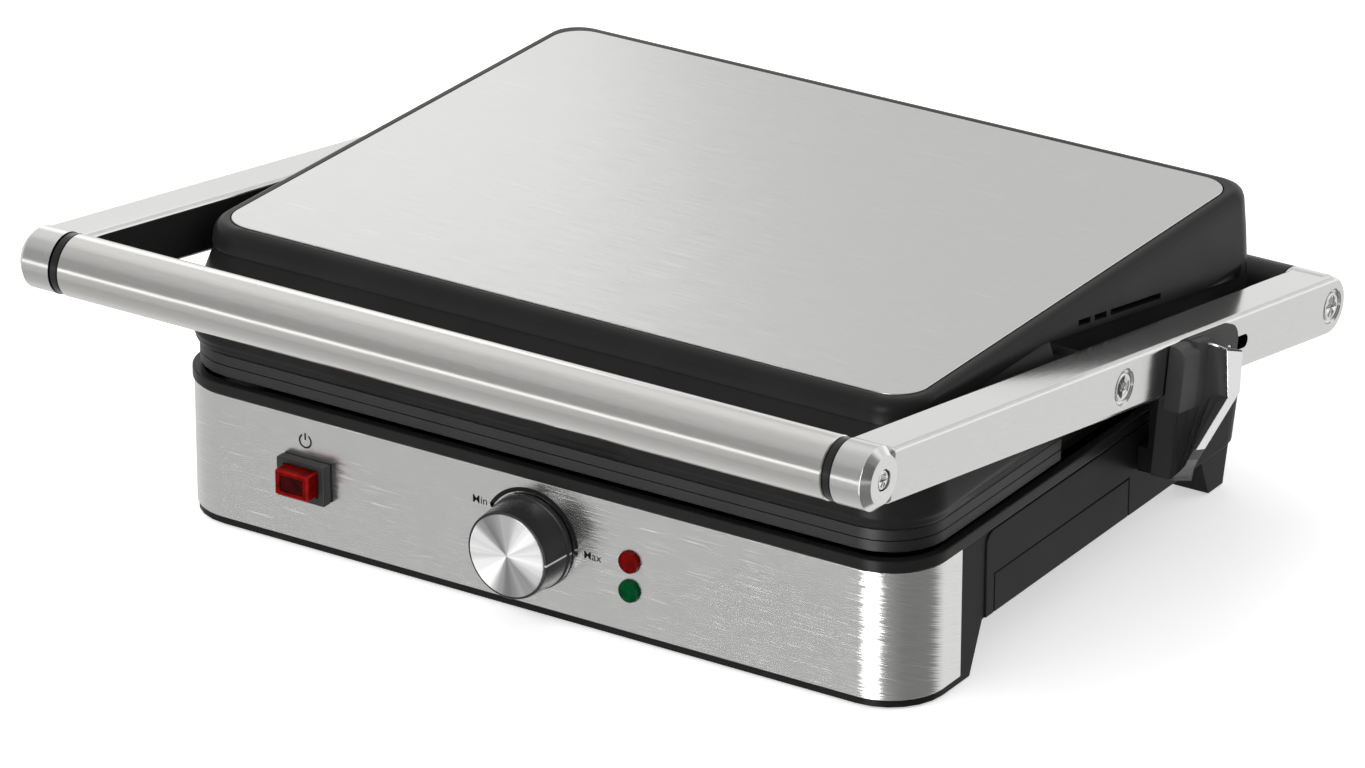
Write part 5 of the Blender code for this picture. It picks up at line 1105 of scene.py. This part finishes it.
# %% Printed marks
INK_LIFT, INK_DEPTH = 0.03, 0.02
KNOB_AT = (KNOB_CENTRE[0], KNOB_CENTRE[2])
SCALE_INNER, SCALE_OUTER = 19.5, 21.2
SCALE_FROM, SCALE_TO = 150, 5
DOTS = (("scale_dot_low", (-17.1, 40.1)), ("scale_dot_high", (20.1, 29.9)))
DOT_RADIUS = 1.0
POWER_AT = (-102.1, 45.2)
POWER_INNER, POWER_OUTER = 2.25, 3.0
POWER_FROM, POWER_TO = 122, 418
BAR_HALF, BAR_LOW, BAR_HIGH = 0.38, 0.5, 3.3
WORDS = (("Min", (-22.7, 40.75)), ("Max", (27.3, 30.3)))
LETTER_SIZE, LETTER_DEPTH, LETTER_WEIGHT, LETTER_LIFT = 4.6, 0.015, 0.010, 0.02


def printed(name, outline):
    """A thin inked shape on the band, from points right of and above the origin."""
    finished(name, prism(outline, -INK_LIFT, INK_DEPTH, "Y"), "base", INK)


def ring_segment(centre, inner, outer, start, end):
    """The outline of a curved stroke."""
    return arc(centre, outer, start, end, 60) + list(reversed(arc(centre, inner, start, end, 60)))


printed("scale_arc", ring_segment(KNOB_AT, SCALE_INNER, SCALE_OUTER, SCALE_FROM, SCALE_TO))
for name, centre in DOTS:
    printed(name, arc(centre, DOT_RADIUS, 0, 345, 23))
printed("power_ring", ring_segment(POWER_AT, POWER_INNER, POWER_OUTER, POWER_FROM, POWER_TO))
printed("power_bar", oblong(POWER_AT[0] - BAR_HALF, POWER_AT[0] + BAR_HALF,
                            POWER_AT[1] + BAR_LOW, POWER_AT[1] + BAR_HIGH))
for word, (x, z) in WORDS:
    letters = bpy.data.curves.new("word_" + word.lower(), "FONT")
    letters.body = word
    letters.size = LETTER_SIZE * MM
    letters.extrude = LETTER_DEPTH * MM
    letters.offset = LETTER_WEIGHT * MM
    letters.align_x = "CENTER"
    letters.align_y = "CENTER"
    letters.materials.append(INK)
    piece = bpy.data.objects.new("word_" + word.lower(), letters)
    piece.matrix_world = Matrix.LocRotScale(
        place(x, -LETTER_LIFT, z), Matrix.Rotation(math.radians(90), 3, "X").to_quaternion(), None)
    bpy.context.scene.collection.objects.link(piece)
    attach(piece, "base")

# %% [markdown]
# ## The arms
# Each arm is a bent steel channel with a black liner, a round end cap for the handle and a round
# eye at the hinge. Screws sit in shallow chamfered seats. Its outer edges are rounded, and that
# roundness shows as a bright band along the whole arm.

# %% The arm's own directions
ARM_HALF_REAR, ARM_HALF_FRONT = 11.4, 10.4
ARM_IN, ARM_OUT = 166.0, measured("arm_right")[1].x
ARM_SHEET = 1.6
HINGE, PIVOT, HANDLE = (middle_of(name)[1:] for name in (
    "hinge_screw_right", "pivot_screw_right", "handle_screw_right"))
run_vector = Vector((HANDLE[0] - HINGE[0], HANDLE[1] - HINGE[1]))
ARM_LENGTH = run_vector.length
FORWARD = run_vector.normalized()
UPWARD = Vector((FORWARD.y, -FORWARD.x))


def on_arm(run, rise, start=HINGE):
    """A place on the arm's side view: run forward from the hinge, rise across it."""
    spot = Vector(start) + FORWARD * run + UPWARD * rise
    return (spot.x, spot.y)


def from_hinge(point):
    """A point's place in the arm's side view, measured from the hinge."""
    return Vector((point.y - HINGE[0], point.z - HINGE[1]))


def arm_half(run):
    """Half of the arm's height, which tapers from the hinge to the handle."""
    return ARM_HALF_REAR + (ARM_HALF_FRONT - ARM_HALF_REAR) * run / ARM_LENGTH


slope = math.degrees(math.atan2(FORWARD.y, -FORWARD.x))
print("arm length", round(ARM_LENGTH, 1), "rising", round(slope, 2), "degrees")

# %% [markdown]
# ### Cutting the arms
# Each arm starts as a full bar with rounded edges. Its inside is taken out, then the tube's
# socket, the screws' chamfered seats, and the lock's slot in the right arm. The cap and the eye
# are turned pieces.

# %% The arms and their screws
EDGE = 2.2
BAR_SHORT = 4.6
CHANNEL_REAR, CHANNEL_FRONT = 24, 20
TUBE_END = 11.94
RING_OUT = ARM_IN + 3.2 + 2 * GAP
OVERRUN = 4
SCREW_RADIUS = 5.5
SCREW_SUNK, HEAD_DEPTH, RECESS_DEPTH = 0.4, 1.4, 1.15
HEX_RADIUS = 2.35
CROSS_HALF, CROSS_REACH = 0.085, 0.52
SEAT_RADIUS, SEAT_DEPTH, SEAT_CHAMFER, SEAT_BORE = SCREW_RADIUS + 1.2, 1.4, 0.5, 5.3
SLOT_RADIUS = 2.7
SLOT_REAR, SLOT_FRONT = 69.0, 95.0
CAP_PROUD, CAP_BEVEL, CAP_BORE, CAP_EDGE = 0.02, 2.8, 3.95, 0.25
EYE_RADIUS, EYE_BORE = 11.85, 6.0
RING_EDGE = 0.3
SCREWS = (
    # name, centre, head's radius, shank's radius, inner end, recess
    ("hinge_screw_", HINGE, SCREW_RADIUS, 3.5, 148.0, "cross"),
    ("pivot_screw_", PIVOT, SCREW_RADIUS, 3.0, 154.8, "hex"),
    ("handle_screw_", HANDLE, 3.6, 1.6, 173.0, "cross"),
)


def side_prism(outline, low, high):
    """A prism across X whose outline is (y, z) places."""
    return prism(outline, min(low, high), max(low, high), "X")


def side_turned(profile, sign, centre, steps=96):
    """A (radius, distance from the middle) profile turned on the left or the right side."""
    return turned([(radius, sign * x) for radius, x in profile], (0, *centre), "X", steps)


def screw_piece(name, sign, centre, head, shank, inner, recess):
    """A screw with a domed edge and a driver recess in its head."""
    out_x = ARM_OUT - SCREW_SUNK
    profile = [(0, out_x), (head - 0.5, out_x), (head - 0.12, out_x - 0.15), (head, out_x - 0.5),
               (head, out_x - 0.7), (shank, out_x - HEAD_DEPTH), (shank, inner), (0, inner)]
    piece = finished(name + "_turned", side_turned(profile, sign, centre, 72), "lid_frame",
                     SCREW_STEEL, (name,))
    if recess == "hex":
        shapes = [arc(centre, HEX_RADIUS, 15, 315, 5)]
    else:
        half, reach = head * CROSS_HALF, head * CROSS_REACH
        shapes = [[on_arm(x, y, centre) for x, y in oblong(-a, a, -b, b)]
                  for a, b in ((reach, half), (half, reach))]
    for shape in shapes:
        carve(piece, side_prism(shape, sign * (out_x - RECESS_DEPTH), sign * (ARM_OUT + 2)))


def channel_room(sign):
    """The open inside of the channel."""
    rear, front = CHANNEL_REAR, ARM_LENGTH - CHANNEL_FRONT
    rear_half, front_half = arm_half(rear) - ARM_SHEET, arm_half(front) - ARM_SHEET
    outline = [on_arm(rear, rear_half), on_arm(front, front_half), on_arm(front, -front_half),
               on_arm(rear, -rear_half)]
    return side_prism(outline, sign * (ARM_IN - OVERRUN), sign * (ARM_OUT - ARM_SHEET))


def arm_piece(side_name, sign):
    """One arm, cut and joined in the order in which a shop would make it."""
    name = "arm_" + side_name
    front = ARM_LENGTH - BAR_SHORT
    side_view = arc((0, 0), ARM_HALF_REAR, 90, 270, 24)
    side_view += [(front, -ARM_HALF_FRONT), (front, ARM_HALF_FRONT)]
    bar = side_prism([on_arm(*spot) for spot in side_view], sign * ARM_IN, sign * ARM_OUT)
    soften(bar, EDGE, 5, 60)
    arm = finished(name + "_channel", bar, "lid_frame", STEEL_ARM, (name,))
    carve(arm, channel_room(sign))
    socket = [(0, ARM_IN - OVERRUN), (TUBE_END + GAP, ARM_IN - OVERRUN),
              (TUBE_END + GAP, RING_OUT), (0, RING_OUT)]
    carve(arm, side_turned(socket, sign, HANDLE))
    seat = [(0, ARM_OUT + OVERRUN), (SEAT_RADIUS + 4.5, ARM_OUT + OVERRUN),
            (SEAT_RADIUS + SEAT_CHAMFER, ARM_OUT), (SEAT_RADIUS, ARM_OUT - SEAT_CHAMFER),
            (SEAT_RADIUS, ARM_OUT - SEAT_DEPTH), (SEAT_BORE, ARM_OUT - SEAT_DEPTH),
            (SEAT_BORE, ARM_IN - 6), (0, ARM_IN - 6)]
    for centre in (HINGE, PIVOT):
        carve(arm, side_turned(seat, sign, centre, 70))
    if side_name == "right":
        slot = arc((SLOT_FRONT - SLOT_RADIUS, 0), SLOT_RADIUS, -90, 90, 12)
        slot += arc((SLOT_REAR + SLOT_RADIUS, 0), SLOT_RADIUS, 90, 270, 12)
        carve(arm, side_prism([on_arm(*spot) for spot in slot],
                              ARM_OUT - ARM_SHEET - OVERRUN, ARM_OUT + OVERRUN))
    grain_map(arm, lambda p: from_hinge(p).dot(FORWARD),
              lambda p: from_hinge(p).dot(UPWARD) + p.x * 0.83)
    proud = ARM_OUT + CAP_PROUD
    cap = [(CAP_BORE, proud - CAP_EDGE), (CAP_BORE + CAP_EDGE, proud),
           (TUBE_END - CAP_BEVEL - 0.2, proud), (TUBE_END - CAP_BEVEL, ARM_OUT - 0.06),
           (TUBE_END - 0.12, ARM_OUT - CAP_BEVEL), (TUBE_END, ARM_OUT - CAP_BEVEL - CAP_EDGE),
           (TUBE_END, RING_OUT + GAP), (CAP_BORE, RING_OUT + GAP)]
    eye = [(EYE_BORE, ARM_IN + 0.15), (EYE_RADIUS, ARM_IN + 0.15),
           (EYE_RADIUS, ARM_OUT - EDGE * 2), (EYE_BORE, ARM_OUT - EDGE * 2)]
    for part_name, profile, centre in (("_cap", cap, HANDLE), ("_eye", eye, HINGE)):
        piece = finished(name + part_name, side_turned(profile, sign, centre), "lid_frame",
                         STEEL_CAP_PAINTED_LIGHT, (name,))
        grain_map(piece, lambda p: math.atan2(p.z - centre[1], p.y - centre[0]) * 11.0,
                  lambda p: math.hypot(p.z - centre[1], p.y - centre[0]) + p.x)
    return arm


for side_name, sign in (("left", -1), ("right", 1)):
    arm = arm_piece(side_name, sign)
    for name, *sizes in SCREWS:
        screw_piece(name + side_name, sign, *sizes)
    low, high = measured("handle_ring_" + side_name)
    radius = (high.z - low.z) / 2
    profile = [(0, low.x), (radius - RING_EDGE, low.x), (radius, low.x + RING_EDGE),
               (radius, high.x - RING_EDGE), (radius - RING_EDGE, high.x), (0, high.x)]
    finished("tube_ring_" + side_name, turned(profile, (0, *HANDLE), "X", 96), "lid_frame",
             BLACK_GLOSS, ("handle_ring_" + side_name,))
    print(side_name, "arm faces:", len(arm.data.polygons))

# %% [markdown]
# ## The lever on the right arm
# The lock's lever is a thumb blade. A bright strip is let into its outer end and turns over the
# top as a fine line. In front of the blade a shoe lies on the arm. They slide with the lever, so
# they ride on its body. Each outline is given as run and rise from the arm's pivot screw.

# %% Lever strip, its top line and the shoe
BLADE_REACH = 40.0
BLADE_END_SHARES = ((1.31, 0.19), (1.44, -0.30), (0.89, -0.72), (1.10, -0.75), (1.70, -0.30),
                    (1.66, 0.11))
BLADE_SCOOP = 3.2
STRIP_MARGIN = 0.5
TOP_LINE_FROM, TOP_LINE_STEPS = 0.28, 8
TOP_LINE_SECTION = ((-0.10, -0.45), (0.45, -0.45), (0.45, 0.08), (-0.10, 0.08))
SHOE_RUN = (32.0, 44.5)
SHOE_OUT, SHOE_LOW, SHOE_HIGH, SHOE_RADIUS = 7.3, -15.0, 9.8, 5.5


def on_lever(run, rise):
    """A place on the lever's side view: run rearward from the pivot, rise across the arm."""
    return on_arm(-run, rise, PIVOT)


def drawn_in(outline, margin):
    """An outline moved inward: each corner goes along the middle of its two sides' normals."""
    points = [Vector(point) for point in outline]
    area = sum(a.x * b.y - b.x * a.y for a, b in zip(points, points[1:] + points[:1]))
    turn_sign = math.copysign(1, area)
    moved = []
    for index, point in enumerate(points):
        coming = (point - points[index - 1]).normalized()
        going = (points[(index + 1) % len(points)] - point).normalized()
        first, second = (Vector((-way.y, way.x)) * turn_sign for way in (coming, going))
        middle = (first + second).normalized()
        moved.append(tuple(point + middle * margin / middle.dot(first)))
    return moved


strip_low, strip_high = measured("lock_trim")
end_outline = [on_lever(run * BLADE_REACH, rise * BLADE_REACH) for run, rise in BLADE_END_SHARES]
strip = side_prism(drawn_in(end_outline, STRIP_MARGIN), strip_low.x, strip_high.x)
soften(strip, 0.15, 2)
finished("lever_strip", strip, "side_lock", TRIM_METAL, ("lock_trim",))

blade_in, blade_out = ARM_OUT + GAP, strip_low.x - GAP / 2
rings = []
for step in range(TOP_LINE_STEPS + 1):
    share = TOP_LINE_FROM + (1 - TOP_LINE_FROM) * step / TOP_LINE_STEPS
    run = (1.10 + 0.21 * share) * BLADE_REACH + BLADE_SCOOP * math.sin(math.pi * share)
    rise = (0.24 - 0.05 * share) * BLADE_REACH
    x = blade_in + (blade_out - blade_in) * share
    if step == TOP_LINE_STEPS:
        x = strip_high.x - 0.02
    rings.append([(x, *on_lever(run + along, rise + up)) for along, up in TOP_LINE_SECTION])
finished("lever_top_line", stacked(rings), "side_lock", TRIM_METAL)

section = [(blade_in, SHOE_LOW), (ARM_OUT + SHOE_OUT, SHOE_LOW)]
section += arc((ARM_OUT + SHOE_OUT - SHOE_RADIUS, SHOE_HIGH - SHOE_RADIUS), SHOE_RADIUS, 0, 90, 10)
section += [(blade_in, SHOE_HIGH)]
shoe = stacked([[(x, *on_lever(run, rise)) for x, rise in section] for run in SHOE_RUN])
soften(shoe, 0.4, 2)
finished("lever_shoe", shoe, "side_lock", BLACK_LEVER_PAINTED_LIGHT)
end_width = (BLADE_END_SHARES[4][0] - BLADE_END_SHARES[1][0]) * BLADE_REACH
print("lever strip width", round(end_width - 2 * STRIP_MARGIN, 1))

# %% [markdown]
# ## The cover shell
# The cover is a hood over a lip. The hood leans in above the arms, and the lip spreads in front
# of them, so they're two stacks of outlines joined together. Fine steps round the corners keep
# the reflections smooth, and the small rolls at the lip and at the ridge catch the light.

# %% Cover rings
LIP_HALF = 165.4
LIP_FRONT, SKIRT_REAR = -1.0, 263.8
LIP_LEAN, LIP_FRONT_LEAN = 13.1, 16.9
HOOD_DEPTH = 265.2
COVER_BOTTOM, COVER_TOP = 71.1, 118.0
FRONT_RADIUS, REAR_RADIUS = 25.0, 17.0
CORNER_FINE = 20
# Height and how far the lip draws in there, as shares
SKIRT_SHARES = (
    (0.000, 0.150), (0.010, 0.110), (0.030, 0.078), (0.050, 0.062), (0.070, 0.052),
    (0.085, 0.030), (0.100, 0.008), (0.120, 0.000), (0.170, 0.005), (0.277, 0.050),
    (0.420, 0.175), (0.574, 0.330), (0.720, 0.505), (0.870, 0.700),
)
# Height, half width, front and rear of the hood, as shares
HOOD_SHARES = (
    (0.180, 0.9460, 0.0500, 0.9920), (0.250, 0.9570, 0.0450, 1.0050),
    (0.360, 0.9570, 0.0400, 1.0095), (0.600, 0.9567, 0.0366, 1.0052),
    (0.830, 0.9555, 0.0340, 0.9995), (0.905, 0.9540, 0.0358, 0.9983),
    (0.950, 0.9512, 0.0398, 0.9950), (0.975, 0.9474, 0.0450, 0.9910),
    (0.990, 0.9425, 0.0506, 0.9865), (1.000, 0.9340, 0.0580, 0.9790),
)


def cover_ring(height_share, half, front, rear, shrink):
    """One outline of the cover, as 3-D points."""
    z = COVER_BOTTOM + (COVER_TOP - COVER_BOTTOM) * height_share
    outline = rounded(-half, half, front, rear, FRONT_RADIUS - shrink, REAR_RADIUS - shrink / 2,
                      CORNER_FINE)
    return [(x, y, z) for x, y in outline]


def skirt_ring(height_share, inset_share):
    """One outline of the lip."""
    side = LIP_LEAN * inset_share
    return cover_ring(height_share, LIP_HALF - side, LIP_FRONT + LIP_FRONT_LEAN * inset_share,
                      SKIRT_REAR - side / 2, side)


def hood_ring(height_share, half_share, front_share, rear_share):
    """One outline of the hood."""
    half = LIP_HALF * half_share
    return cover_ring(height_share, half, LIP_FRONT + HOOD_DEPTH * front_share,
                      HOOD_DEPTH * rear_share, LIP_HALF - half)


# %% [markdown]
# ### Joining the two stacks
# Room for the arms is cut from the lip, and the hood is trimmed along its sloping ridge line
# before the two are joined. Then come the hollow inside, the plate's seat, the pivot bosses and
# the vents above the arms.

# %% Cover shell
RIDGE_Y, RIDGE_Z, RIDGE_SLOPE = 103.0, 109.4, 0.18
ARM_ROOM_IN, ARM_ROOM_FROM = 156.5, 107.7
PAST_SIDE, PAST_REAR = 170.0, 270.0
CAVITY_HALF, CAVITY_FRONT, CAVITY_REAR, CAVITY_RADIUS, CAVITY_TOP = 152.9, 11.4, 256.4, 14, 113.0
PLATE_SEAT = 0.6
PIVOT_HOLE, PIVOT_HOLE_IN, PIVOT_HOLE_OUT = 7.15, 148.0, 162.0
PIVOT_WALL_IN, PIVOT_BORE, PIVOT_BOSS = 155.0, 5.3, 9.0
VENTS = ((190.0, 38.0), (149.0, 9.0), (137.0, 9.0))
VENT_RISE, VENT_HEIGHT, VENT_IN = 2.4, 2.4, 149.0

shell = stacked([skirt_ring(*shares) for shares in SKIRT_SHARES])
shell = finished("cover_moulding", shell, "cover", BLACK, ("cover_shell",))
for sign in (-1, 1):
    room = oblong(sign * ARM_ROOM_IN, sign * PAST_SIDE, ARM_ROOM_FROM, PAST_REAR)
    carve(shell, prism(room, COVER_BOTTOM - 4, COVER_TOP, "Z"))
hood = stacked([hood_ring(*shares) for shares in HOOD_SHARES])
hood = finished("hood_helper", hood, "cover", BLACK)
below = [(-5, RIDGE_Z), (-5, COVER_BOTTOM), (273, COVER_BOTTOM), (273, RIDGE_Z - 170 * RIDGE_SLOPE),
         (RIDGE_Y, RIDGE_Z)]
carve(hood, prism(below, -PAST_SIDE, PAST_SIDE, "X"))
hood_solid = bmesh.new()
hood_solid.from_mesh(hood.data)
bpy.data.objects.remove(hood, do_unlink=True)
carve(shell, hood_solid, "UNION")
cavity = rounded(-CAVITY_HALF, CAVITY_HALF, CAVITY_FRONT, CAVITY_REAR, CAVITY_RADIUS, CAVITY_RADIUS)
carve(shell, prism(cavity, COVER_BOTTOM - 4, CAVITY_TOP, "Z"))
seat = rounded(top_low.x - PLATE_SEAT, top_high.x + PLATE_SEAT, top_low.y - PLATE_SEAT,
               top_high.y + PLATE_SEAT, TOP_RADIUS + PLATE_SEAT, TOP_RADIUS + PLATE_SEAT)
carve(shell, prism(seat, top_low.z - GAP, COVER_TOP + 4, "Z"))
for sign in (-1, 1):
    hole = [(0, PIVOT_HOLE_IN), (PIVOT_HOLE, PIVOT_HOLE_IN), (PIVOT_HOLE, PIVOT_HOLE_OUT),
            (0, PIVOT_HOLE_OUT)]
    carve(shell, side_turned(hole, sign, PIVOT, 56))
    boss = [(PIVOT_BORE, PIVOT_WALL_IN), (PIVOT_BOSS, PIVOT_WALL_IN), (PIVOT_BOSS, LIP_HALF),
            (PIVOT_BORE, LIP_HALF)]
    carve(shell, side_turned(boss, sign, PIVOT, 72), "UNION")
    for rear, length in VENTS:
        low_line = [(y, RIDGE_Z - (y - RIDGE_Y) * RIDGE_SLOPE + VENT_RISE)
                    for y in (rear - length, rear)]
        vent = low_line + [(y, z + VENT_HEIGHT) for y, z in reversed(low_line)]
        carve(shell, side_prism(vent, sign * VENT_IN, sign * PAST_SIDE))
print("cover faces:", len(shell.data.polygons))
